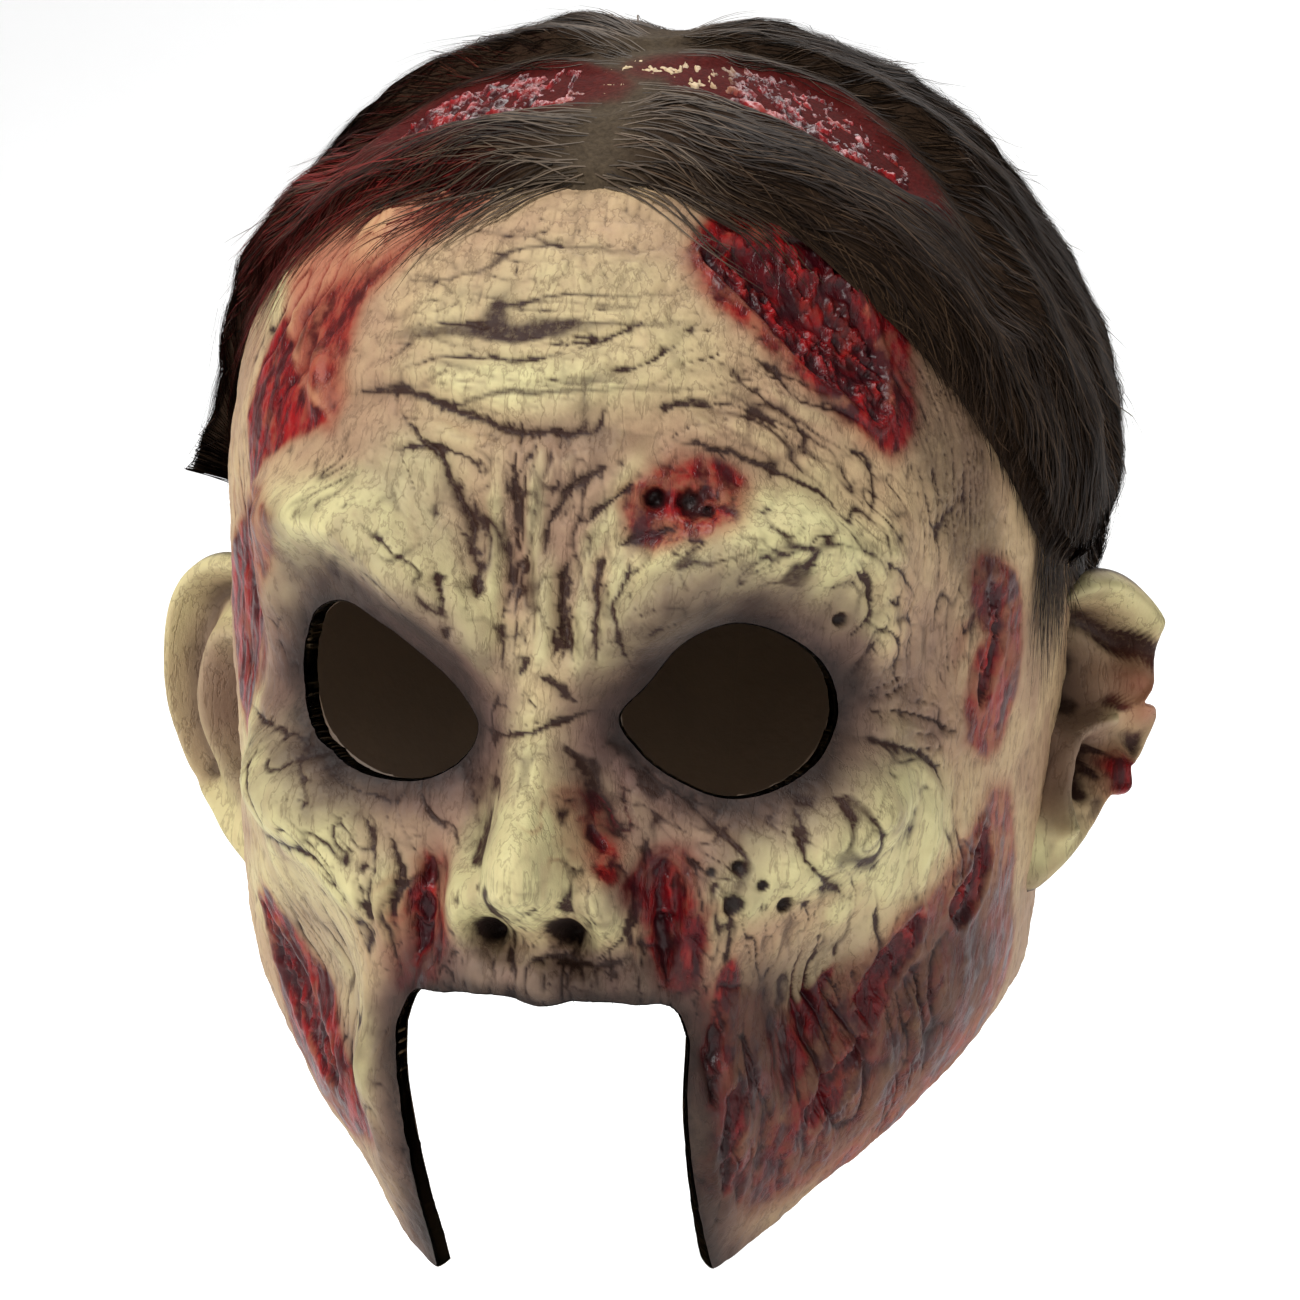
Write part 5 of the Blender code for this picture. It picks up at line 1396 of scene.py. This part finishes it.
EAR_FORMS = {  # line, half width, height in shares of the ear's width, paint layer, its amount; wash, mauve and black on sunken forms are painted shade, pale on raised ones partly painted highlight
    "ear_right": (
        (((0.22, 0.74), (0.58, 0.76), (0.82, 0.44), (0.86, 0.05), (0.74, -0.26)), 0.10, -0.13,
         "bruise", 0.7),
        (((0.24, 0.46), (0.50, 0.50), (0.68, 0.16), (0.62, -0.20), (0.40, -0.42)), 0.09, 0.14,
         "pale", 0.6),
        (((0.28, 0.22), (0.42, 0.02), (0.40, -0.22)), 0.19, -0.24, "wash", 0.8),
        (((0.34, -0.02), (0.34, -0.12)), 0.09, -0.10, "soot", 0.6),
        (((0.06, 0.08), (0.15, -0.08), (0.12, -0.26)), 0.08, 0.12, "pale", 0.5),
        (((0.30, -0.66), (0.46, -0.62)), 0.18, 0.05, "pale", 0.8),
    ),
    "ear_left": (
        (((0.06, 0.84), (0.46, 0.90), (0.84, 0.74)), 0.12, 0.13, "pale", 1.0),
        (((0.10, 0.64), (0.46, 0.68), (0.74, 0.56)), 0.08, -0.16, "wash", 1.0),
        (((0.80, 0.36), (0.84, 0.20)), 0.12, 0.13, "raw", 0.4),
        (((0.34, 0.52), (0.46, 0.40), (0.42, 0.22)), 0.15, -0.32, "soot", 1.0),
        (((0.22, 0.04), (0.24, -0.18), (0.21, -0.42)), 0.07, -0.30, "soot", 1.0),
        (((0.64, 0.10), (0.45, -0.04), (0.38, -0.34), (0.42, -0.58)), 0.07, 0.15, "pale", 1.0),
        (((0.58, -0.12), (0.54, -0.34)), 0.06, -0.14, "wash", 0.9),
        (((0.74, -0.18), (0.76, -0.28)), 0.12, 0.12, "blood", 1.0),
        (((0.08, 0.30), (0.10, -0.05)), 0.07, 0.08, "pale", 0.8),
        (((0.26, -0.76), (0.40, -0.70)), 0.22, 0.05, "pale", 1.0),
    ),
}
EAR_STEPS, EAR_RINGS = 150, 34


def ear_leaf(name, side, drop, height, flare):
    root, across, up, out = ear_frame(side, drop * EAR_DROP, flare)
    tall = height * EAR_HEIGHT
    turns = np.linspace(-math.pi, math.pi, EAR_STEPS, endpoint=False)
    shares = np.linspace(0, 1, EAR_RINGS + 1)[1:] ** 0.85
    reach = ear_reach(turns, tall, EAR_BITES if side > 0 else ())
    share, turn = np.meshgrid(shares, turns, indexing="ij")
    flat_x = 0.45 * EAR_WIDTH + share * reach * np.cos(turn)
    flat_y = share * reach * np.sin(turn)
    x, y = flat_x / EAR_WIDTH, flat_y / (tall / 2)
    lobe = np.clip(-np.sin(turn), 0, 1) ** 3
    roll = 0.12 if side < 0 else 0.04
    lift = -0.12 * np.exp(-((share / 0.46) ** 2))
    lift = lift + roll * np.exp(-(((share - 0.93) / 0.09) ** 2)) * (1 - 0.8 * lobe)
    marks = {key: np.zeros_like(x) for key in ("wash", "blood", "raw", "pale", "bruise", "soot", "bare")}
    marks["pale"] += 0.75 if side < 0 else 0.15
    for line, half, high, layer, amount in EAR_FORMS[name]:
        form = ridge(x, y, line, half)
        lift = lift + high * form
        marks[layer] = np.maximum(marks[layer], amount * form)
    lift = lift * EAR_WIDTH
    spot = np.stack([flat_x, flat_y, lift], -1) + side * 50
    amount = 0.55 if side > 0 else 0.15
    lift = lift + amount * rough(spot, 5.0, 201, 3) * (1 - np.exp(-((1 - share) / 0.05) ** 2))
    edge = np.sqrt(np.clip((1 - share) / 0.10, 0, 1))
    front = lift - EAR_WALL * 0.5 * (1 - edge)
    back = lift * 0.8 - EAR_WALL * (0.5 + 0.5 * edge)
    rings = []
    for height_at in (front, back[::-1]):
        wide, high = (flat_x, flat_y) if height_at is front else (flat_x[::-1], flat_y[::-1])
        rings.append(root + wide[..., None] * across + high[..., None] * up + height_at[..., None] * out)
    rings = np.concatenate([rings[0], rings[1][1:]])
    middle = root + 0.45 * EAR_WIDTH * across
    points = np.vstack([rings.reshape(-1, 3), middle + out * lift[0].mean(),
                        middle + out * (back[0].mean())])
    total = len(rings)
    faces = []
    for i in range(total - 1):
        for j in range(EAR_STEPS):
            k = (j + 1) % EAR_STEPS
            here, beyond = i * EAR_STEPS, (i + 1) * EAR_STEPS
            faces.append((here + j, beyond + j, beyond + k, here + k))
    last = (total - 1) * EAR_STEPS
    faces += [(len(points) - 2, j, (j + 1) % EAR_STEPS) for j in range(EAR_STEPS)]
    faces += [(len(points) - 1, last + (j + 1) % EAR_STEPS, last + j) for j in range(EAR_STEPS)]
    if side < 0:
        faces = [face[::-1] for face in faces]
    # Hollows of the ear are darkened with painted shade, and its inner part turns mauve as painted shade.
    deep = soft(-(front - blurred(front, 5, 2)), 0.05, 1.0)
    marks["wash"] = np.clip(marks["wash"] + (1.0 if side > 0 else 0.6) * deep, 0, 1)
    marks["bruise"] = np.maximum(marks["bruise"], 0.8 * soft(0.75 - share, 0.0, 0.5))
    if side > 0:
        marks["wash"] = np.maximum(marks["wash"], 0.42 * soft(rough(spot, 9.0, 231, 2), -0.6, 0.5))
    marks["pale"] = marks["pale"] * (1 - 0.7 * np.maximum(marks["soot"], marks["bruise"]))
    flat = {}
    for key, field in marks.items():
        behind = field[::-1][1:].reshape(-1) * (0.4 if key != "pale" else 1.0)
        flat[key] = np.concatenate([field.reshape(-1), behind, field[0, :1], field[0, :1]])
    return points, faces, flat


def kept_out(points, deepest):
    """Points that lie deeper than this under the cast skin come back up to it."""
    moved = points.copy()
    for k, point in enumerate(points * METRES):
        near, outward, _, distance = cast_tree.find_nearest(Vector(point))
        outward = np.array(outward)
        if outward @ (np.array(near) - (0, 0.008, -0.1)) < 0:
            outward = -outward
        depth = (point - np.array(near)) @ outward / METRES
        if depth < -deepest and distance < 0.02:
            moved[k] = points[k] + outward * (-deepest - depth)
    return moved


ears = []
for row in EARS:
    points, faces, marks = ear_leaf(*row)
    piece = solid_piece(row[0], kept_out(points, 1.2), faces, SKIN, None, marks)
    ears.append(piece)
    print(row[0], "has", len(faces), "faces")

# %% [markdown]
# The hair is combed synthetic fibre glued to the scalp in two halves, thin along the parting. Each
# half is a backing pad with locks of fibre laid over it. The fibres all follow the comb, so they are
# grown on the pad by rule: where each one starts is random, and where it goes is given by the comb.

# %% Shape of the hair
HAIRLINE = (  # turn, on the wearer's left, on the wearer's right
    (0, 0.110, 0.110), (15, 0.112, 0.115), (27, 0.140, 0.120), (36, 0.190, 0.135),
    (46, 0.250, 0.165), (58, 0.325, 0.210), (70, 0.385, 0.270), (82, 0.400, 0.360),
    (100, 0.388, 0.380), (114, 0.440, 0.440), (124, 0.590, 0.590), (138, 0.680, 0.680),
    (180, 0.700, 0.700),
)
HAIR_FORMS = (  # turn, drop, wide, tall, push
    (-90, 0.372, 17, 0.048, 2.20), (-84, 0.200, 26, 0.060, 0.25), (88, 0.300, 26, 0.090, 0.30),
    (60, 0.070, 25, 0.050, 0.20),
)
PAD_COLUMNS, PAD_ROWS = 130, 90
PAD_SINK = 0.9  # the pad lies this much under the tops of the fibres


def hair_thickness(turn, point, edge):
    x, y, z = (point[..., i] for i in range(3))
    part = soft(np.abs(x), 0.0, PARTING_BLEND)
    thick = HAIR_PARTING + (HAIR_THICK - HAIR_PARTING) * part
    rim_share = np.clip(edge / EDGE_BLEND, 0, 1)
    rim_share = rim_share * (2 - rim_share)
    thick = HAIR_EDGE + (thick - HAIR_EDGE) * rim_share
    comb = (y + LOCK_SWEEP * z) / LOCK_PITCH
    thick = thick + LOCK_RELIEF * rim_share * part * np.cos(2 * math.pi * comb)
    for at, drop, wide, tall, more in HAIR_FORMS:
        off = ((np.degrees(turn) - at) / wide) ** 2 + ((-z / MASK_HEIGHT - drop) / tall) ** 2
        thick = thick + more * HAIR_THICK * np.exp(-off)
    return thick


def hairline(side, turn):
    line = smooth(np.radians(column(HAIRLINE, 0)), column(HAIRLINE, 1 if side > 0 else 2), np.abs(turn))
    return line * MASK_HEIGHT


def pad_point(side, turn, fall, lift=0.0):
    """A point of the hair's outer surface."""
    scalp = skin_point(turn, fall)
    line = hairline(side, turn)
    edge = scalp[..., 2] + line
    clump = rough(scalp, 9.0, 341, 2)
    thick = hair_thickness(turn, scalp, edge) * (1 + 0.16 * clump)
    thick = thick * (1 - 1.2 * slit_share(scalp)) * (1 - 0.7 * slit_share(scalp, 2.0)) - PAD_SINK
    thick = np.where(edge < 2.5, np.minimum(thick, -0.8 + 0.9 * np.clip(edge, 0, 2.5)), thick)
    return skin_point(turn, fall, HAIR_GAP + thick + lift), scalp, edge




def pad(side):
    turns = side * np.linspace(0, math.pi, PAD_COLUMNS + 1)
    last = fall_of(-hairline(side, turns))
    share = np.linspace(0, 1, PAD_ROWS + 1)
    turn = np.broadcast_to(turns, (PAD_ROWS + 1, PAD_COLUMNS + 1))
    fall = np.maximum(share[:, None] * last, 0.004)
    over, scalp, edge = pad_point(side, turn, fall)
    return turn, fall, over, scalp, edge


def grid_faces(rows_count, columns_count, flip):
    faces = []
    for i in range(rows_count):
        for j in range(columns_count):
            a = i * (columns_count + 1) + j
            face = (a, a + columns_count + 1, a + columns_count + 2, a + 1)
            faces.append(face[::-1] if flip else face)
    return faces


# %% Hair materials
def fibre(name, root, tip, sheen):
    made, tree, shader = new_material(name)
    along, tint = read(tree, "along"), read(tree, "tint")
    tone = mixed(tree, math_node(tree, "MULTIPLY", along, 0.6), root, tip)
    tone = mixed(tree, band(tree, tint, 0.0, 1.0, 0.0, 0.8), tone, colour("5a4532"))
    tone = mixed(tree, read(tree, "red"), tone, colour("6e1613"))
    tone = mixed(tree, read(tree, "grey"), tone, colour("6b5d4e"))
    tree.links.new(tone, shader.inputs["Base Color"])
    shader.inputs["Roughness"].default_value = 0.7
    shader.inputs["Specular IOR Level"].default_value = sheen
    return made


def backing(name):
    made, tree, shader = new_material(name)
    strands = grit(tree, 900.0, 3.0, 0.6)
    tone = mixed(tree, strands, colour("1a120c"), colour("33251a"))
    tone = mixed(tree, read(tree, "grey"), tone, mixed(tree, strands, colour("1f1812"), colour("544839")))
    tone = mixed(tree, read(tree, "red"), tone, mixed(tree, strands, colour("22090a"), colour("5a1011")))
    tree.links.new(tone, shader.inputs["Base Color"])
    shader.inputs["Roughness"].default_value = 0.9
    shader.inputs["Specular IOR Level"].default_value = 0.05
    bump = node(tree, "ShaderNodeBump", Height=strands, Strength=0.6, Distance=0.0006)
    tree.links.new(bump.outputs["Normal"], shader.inputs["Normal"])
    return made


FIBRE = fibre("combed_fibre", colour("120b07"), colour("2c1d12"), 0.12)
BACKING = backing("hair_backing")


# %% Fibres laid by the comb
def fibre_nodes(name):
    """Node group that turns combed lines into flat tapered fibres."""
    group = bpy.data.node_groups.new(name, "GeometryNodeTree")
    face = group.interface
    face.new_socket("Geometry", in_out="INPUT", socket_type="NodeSocketGeometry")
    width = face.new_socket("Fibre half width", in_out="INPUT", socket_type="NodeSocketFloat")
    tip = face.new_socket("Tip share", in_out="INPUT", socket_type="NodeSocketFloat")
    finish = face.new_socket("Finish", in_out="INPUT", socket_type="NodeSocketMaterial")
    face.new_socket("Geometry", in_out="OUTPUT", socket_type="NodeSocketGeometry")
    nodes, links = group.nodes, group.links
    entry, leave = nodes.new("NodeGroupInput"), nodes.new("NodeGroupOutput")
    curve = nodes.new("GeometryNodeMeshToCurve")
    links.new(entry.outputs[0], curve.inputs["Mesh"])
    outward = nodes.new("GeometryNodeInputNamedAttribute")
    outward.data_type = "FLOAT_VECTOR"
    outward.inputs["Name"].default_value = "out"
    turn = nodes.new("GeometryNodeSetCurveNormal")
    turn.mode = "FREE"
    links.new(curve.outputs["Curve"], turn.inputs["Curve"])
    links.new(outward.outputs["Attribute"], turn.inputs["Normal"])
    along = nodes.new("GeometryNodeInputNamedAttribute")
    along.data_type = "FLOAT"
    along.inputs["Name"].default_value = "along"
    taper = nodes.new("ShaderNodeMapRange")
    links.new(along.outputs["Attribute"], taper.inputs["Value"])
    taper.inputs["From Min"].default_value = 0.55
    taper.inputs["From Max"].default_value = 1.0
    taper.inputs["To Min"].default_value = 1.0
    links.new(entry.outputs["Tip share"], taper.inputs["To Max"])
    size = nodes.new("GeometryNodeSetCurveRadius")
    links.new(turn.outputs["Curve"], size.inputs["Curve"])
    links.new(taper.outputs["Result"], size.inputs["Radius"])
    flat = nodes.new("GeometryNodeCurvePrimitiveLine")
    start, end = nodes.new("ShaderNodeCombineXYZ"), nodes.new("ShaderNodeCombineXYZ")
    minus = nodes.new("ShaderNodeMath")
    minus.operation = "MULTIPLY"
    minus.inputs[1].default_value = -1.0
    links.new(entry.outputs["Fibre half width"], minus.inputs[0])
    links.new(minus.outputs["Value"], start.inputs["Y"])
    links.new(entry.outputs["Fibre half width"], end.inputs["Y"])
    links.new(start.outputs["Vector"], flat.inputs["Start"])
    links.new(end.outputs["Vector"], flat.inputs["End"])
    sweep = nodes.new("GeometryNodeCurveToMesh")
    links.new(size.outputs["Curve"], sweep.inputs["Curve"])
    links.new(flat.outputs["Curve"], sweep.inputs["Profile Curve"])
    radius = nodes.new("GeometryNodeInputRadius")
    links.new(radius.outputs["Radius"], sweep.inputs["Scale"])
    real = nodes.new("GeometryNodeRealizeInstances")
    links.new(sweep.outputs["Mesh"], real.inputs["Geometry"])
    paint_on = nodes.new("GeometryNodeSetMaterial")
    links.new(real.outputs["Geometry"], paint_on.inputs["Geometry"])
    links.new(entry.outputs["Finish"], paint_on.inputs["Material"])
    links.new(paint_on.outputs["Geometry"], leave.inputs[0])
    return group, {"width": width.identifier, "tip": tip.identifier, "finish": finish.identifier}


FIBRE_POINTS, FIBRE_COUNT = 8, 12400
FIBRE_HALF_WIDTH, FIBRE_TIP = 0.17, 0.25
FIBRE_LENGTHS = (16, 34)
STRAY_SHARE = 0.06
fibre_group, fibre_inputs = fibre_nodes("combed_fibres")


def comb_flow(side, point, out):
    """Direction of the comb at a place: away from the parting, back and down."""
    way = np.stack([np.full(len(point), side * 1.0), np.full(len(point), 0.35),
                    np.full(len(point), -0.9)], -1)
    way[:, 0] *= np.clip(1.4 - np.abs(point[:, 0]) / 70, 0.15, 1) * (1 - 0.85 * soft(point[:, 1], 5, 60))
    way[:, 1] += 0.5 * soft(point[:, 1], -40, 40)
    way -= out * (way * out).sum(1, keepdims=True)
    return way / np.maximum(np.linalg.norm(way, axis=1, keepdims=True), 1e-9)


def fibres(name, side, count, seed):
    """Combed lines over one half of the hair, as a mesh of edges, then as flat fibres."""
    random = np.random.default_rng(seed)
    turn, fall, over, scalp, edge = pad(side)
    a, b = over[:-1, 1:] - over[:-1, :-1], over[1:, :-1] - over[:-1, :-1]
    area = np.linalg.norm(np.cross(a, b), axis=-1).ravel()
    pick = random.choice(len(area), count, p=area / area.sum())
    i, j = np.divmod(pick, PAD_COLUMNS)
    i, j = i + random.random(count), j + random.random(count)
    at_turn, at_fall = sampled(turn, i, j), sampled(fall, i, j)
    bare = slit_share(skin_point(at_turn, at_fall))
    start = skin_point(at_turn, at_fall)
    thin = 0.12 * np.exp(-(start[:, 0] / 6.0) ** 2) * soft(-start[:, 1], -20, 10)
    stay = random.random(count) > np.maximum(bare, thin)
    at_turn, at_fall = at_turn[stay], at_fall[stay]
    count = len(at_turn)
    length = random.uniform(*FIBRE_LENGTHS, count)
    clump = rough(skin_point(at_turn, at_fall), 7.0, seed + 5, 2)
    wild = random.normal(0, 0.5, count)
    step = length / (FIBRE_POINTS - 1)
    rise = random.uniform(-0.1, 0.9, count)
    stray = np.where(random.random(count) < STRAY_SHARE, random.uniform(0.8, 3.8, count), 0)

    def combed(at_turn, at_fall, step):
        """Lines that start here and follow the comb, and the share of each before the hairline."""
        lines, outs = [], []
        bare_way, within_hair = np.zeros(count), np.ones(count)
        for k in range(FIBRE_POINTS):
            t = k / (FIBRE_POINTS - 1)
            point, scalp_here, edge_here = pad_point(side, at_turn, at_fall)
            out = head_normal(at_turn, at_fall)
            lift = 0.25 + rise * t + 0.8 * np.clip(clump, 0, 1) * t + stray * t ** 1.5
            lift = (lift - 0.5 * (1 - t) ** 4) * (1 - 0.75 * slit_share(scalp_here, 2.0))
            lift += np.where(edge_here < 3, 0.7, 0)
            bare_way = np.maximum(bare_way, slit_share(scalp_here, 1.2))
            within_hair = np.where(edge_here < 0, np.minimum(within_hair, t), within_hair)
            lines.append(point + out * lift[:, None])
            outs.append(out)
            way = comb_flow(side, point, out)
            across = np.cross(way, out)
            swing = 0.42 * noise(point, 16.0, seed + 9) + 0.35 * wild
            swing += 0.30 * noise(point + 40 * clump[:, None], 9.0, seed + 13)
            way = way + across * swing[:, None]
            tiny = 0.004
            above = np.maximum(at_fall - tiny, 1e-4)
            east = head_point(at_turn + tiny, at_fall) - head_point(at_turn - tiny, at_fall)
            east = east / (2 * tiny)
            south = head_point(at_turn, at_fall + tiny) - head_point(at_turn, above)
            south = south / (at_fall + tiny - above)[:, None]
            ee, ss, es = (east * east).sum(1), (south * south).sum(1), (east * south).sum(1)
            we, ws = (way * east).sum(1), (way * south).sum(1)
            det = np.maximum(ee * ss - es ** 2, 1e-6)
            at_turn = at_turn + step * (we * ss - ws * es) / det
            at_fall = np.clip(at_fall + step * (ws * ee - we * es) / det, 0.01, 1.95)
        return lines, outs, bare_way, within_hair

    lines, outs, bare_way, within_hair = combed(at_turn, at_fall, step)
    if side > 0:
        over_gash = np.abs(np.degrees(at_turn) - 40) < 26
        short = np.where(over_gash, np.clip(within_hair, 0.25, 1), 1.0)
        lines, outs, bare_way, within_hair = combed(at_turn, at_fall, step * short)
    shown = bare_way < random.uniform(0.15, 0.60, len(bare_way))
    lines, outs = np.stack(lines, 1)[shown], np.stack(outs, 1)[shown]
    count = len(lines)
    place = lines[:, 0]
    along = np.linspace(0, 1, FIBRE_POINTS)[None, :]
    tint = np.clip(random.random(count) ** 3 * 0.7, 0, 1)
    red = 0.75 * soft(-place[:, 0], 12, 30) * soft(-place[:, 1], 10, 40)
    red = red * soft(random.random(count), 0.2, 0.8)
    grey = 0.7 * np.exp(-(place[:, 0] / 8.0) ** 2) * soft(-place[:, 1], -20, 20) * random.random(count)
    mesh = bpy.data.meshes.new(name + "_lines")
    index = np.arange(count * FIBRE_POINTS).reshape(count, FIBRE_POINTS)
    pairs = np.stack([index[:, :-1], index[:, 1:]], -1).reshape(-1, 2)
    mesh.from_pydata((lines.reshape(-1, 3) * METRES).tolist(), pairs.tolist(), [])
    for key, values in (("along", along), ("tint", tint[:, None]), ("red", red[:, None]),
                        ("grey", grey[:, None])):
        values = np.broadcast_to(values, (count, FIBRE_POINTS))
        layer = mesh.attributes.new(key, "FLOAT", "POINT")
        layer.data.foreach_set("value", values.ravel().astype(np.float32))
    layer = mesh.attributes.new("out", "FLOAT_VECTOR", "POINT")
    layer.data.foreach_set("vector", outs.ravel().astype(np.float32))
    drawn = bpy.data.objects.new(name + "_lines", mesh)
    bpy.context.scene.collection.objects.link(drawn)
    grow = drawn.modifiers.new("grow", "NODES")
    grow.node_group = fibre_group
    grow[fibre_inputs["width"]] = FIBRE_HALF_WIDTH * METRES
    grow[fibre_inputs["tip"]] = FIBRE_TIP
    grow[fibre_inputs["finish"]] = FIBRE
    ready = bpy.data.meshes.new_from_object(drawn.evaluated_get(bpy.context.evaluated_depsgraph_get()))
    bpy.data.objects.remove(drawn)
    ready.name = name
    if not ready.materials:
        ready.materials.append(FIBRE)
    made = bpy.data.objects.new(name, ready)
    bpy.context.scene.collection.objects.link(made)
    print(name, "has", count, "fibres and", sum(len(p.vertices) - 2 for p in ready.polygons), "triangles")
    return made


hair_pieces = {}
for side, word in ((1, "left"), (-1, "right")):
    turn, fall, over, scalp, edge = pad(side)
    grey = np.exp(-(over[..., 0] / 9.0) ** 2) * soft(-over[..., 1], -20, 20)
    red = 0.7 * soft(-over[..., 0], 12, 30) * soft(-over[..., 1], 20, 50)
    red = np.maximum(red, 0.8 * slit_share(scalp, 1.5))
    marks = {"grey": grey.ravel(), "red": red.ravel()}
    backing_piece = solid_piece("hair_pad_" + word, over.reshape(-1, 3),
                                grid_faces(PAD_ROWS, PAD_COLUMNS, side < 0), BACKING, None, marks)
    locks = fibres("hair_fibres_" + word, side, FIBRE_COUNT, 7 + side)
    hair_pieces[word] = [backing_piece, locks]

# %% [markdown]
# The mask hangs over a pale floor with a pale wall behind, lit by large soft lamps: a key lamp high
# on the picture's left, a weaker one on the right, and a white sky that keeps the shadows open.

# %% Stage and light
FLOOR_LEVEL = -0.262


white, _, white_shader = new_material("pale_paper")
white_shader.inputs["Base Color"].default_value = (0.93, 0.93, 0.93, 1)
white_shader.inputs["Roughness"].default_value = 1.0
white_shader.inputs["Specular IOR Level"].default_value = 0.0


def sweep(name, wide, near, far, bend, high, finish):
    """A paper sweep: flat floor that bends up into a wall behind."""
    arc = [(far - bend + bend * math.sin(t), FLOOR_LEVEL + bend - bend * math.cos(t))
           for t in np.linspace(0, math.pi / 2, 25)]
    line = [(near, FLOOR_LEVEL)] + arc + [(far, high)]
    points = [(x, y, z) for y, z in line for x in (-wide, wide)]
    faces = [(2 * k, 2 * k + 1, 2 * k + 3, 2 * k + 2) for k in range(len(line) - 1)]
    mesh = bpy.data.meshes.new(name)
    mesh.from_pydata(points, [], faces)
    mesh.polygons.foreach_set("use_smooth", [True] * len(faces))
    mesh.materials.append(finish)
    made = bpy.data.objects.new(name, mesh)
    bpy.context.scene.collection.objects.link(made)
    return made


paper = sweep("paper_sweep", 5.0, -5.0, 3.4, 1.2, 4.0, white)


def lamp(name, place, power, size):
    data = bpy.data.lights.new(name, "AREA")
    data.energy = power
    data.size = size
    made = bpy.data.objects.new(name, data)
    made.location = place
    made.rotation_mode = "QUATERNION"
    made.rotation_quaternion = (Vector(place) - AIM).to_track_quat("Z", "Y")
    bpy.context.scene.collection.objects.link(made)


lamp("key", (-0.55, -1.0, 0.85), 21.0, 0.35)
lamp("fill", (1.0, -0.8, 0.1), 2.6, 0.7)
lamp("paper", (0.0, 1.5, 2.4), 110.0, 2.0)
world = bpy.data.worlds.new("sky")
bpy.context.scene.world = world
world.use_nodes = True
world.node_tree.nodes["Background"].inputs["Color"].default_value = (1, 1, 1, 1)
world.node_tree.nodes["Background"].inputs["Strength"].default_value = 0.28
bpy.context.scene.view_settings.view_transform = "Standard"

# %% Hand the pieces to the frame
for piece in skin_pieces + ears:
    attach(piece, "root")
    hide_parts("mask_skin")
for word, pieces in hair_pieces.items():
    for piece in pieces:
        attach(piece, "root")
        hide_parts("hair_" + word)
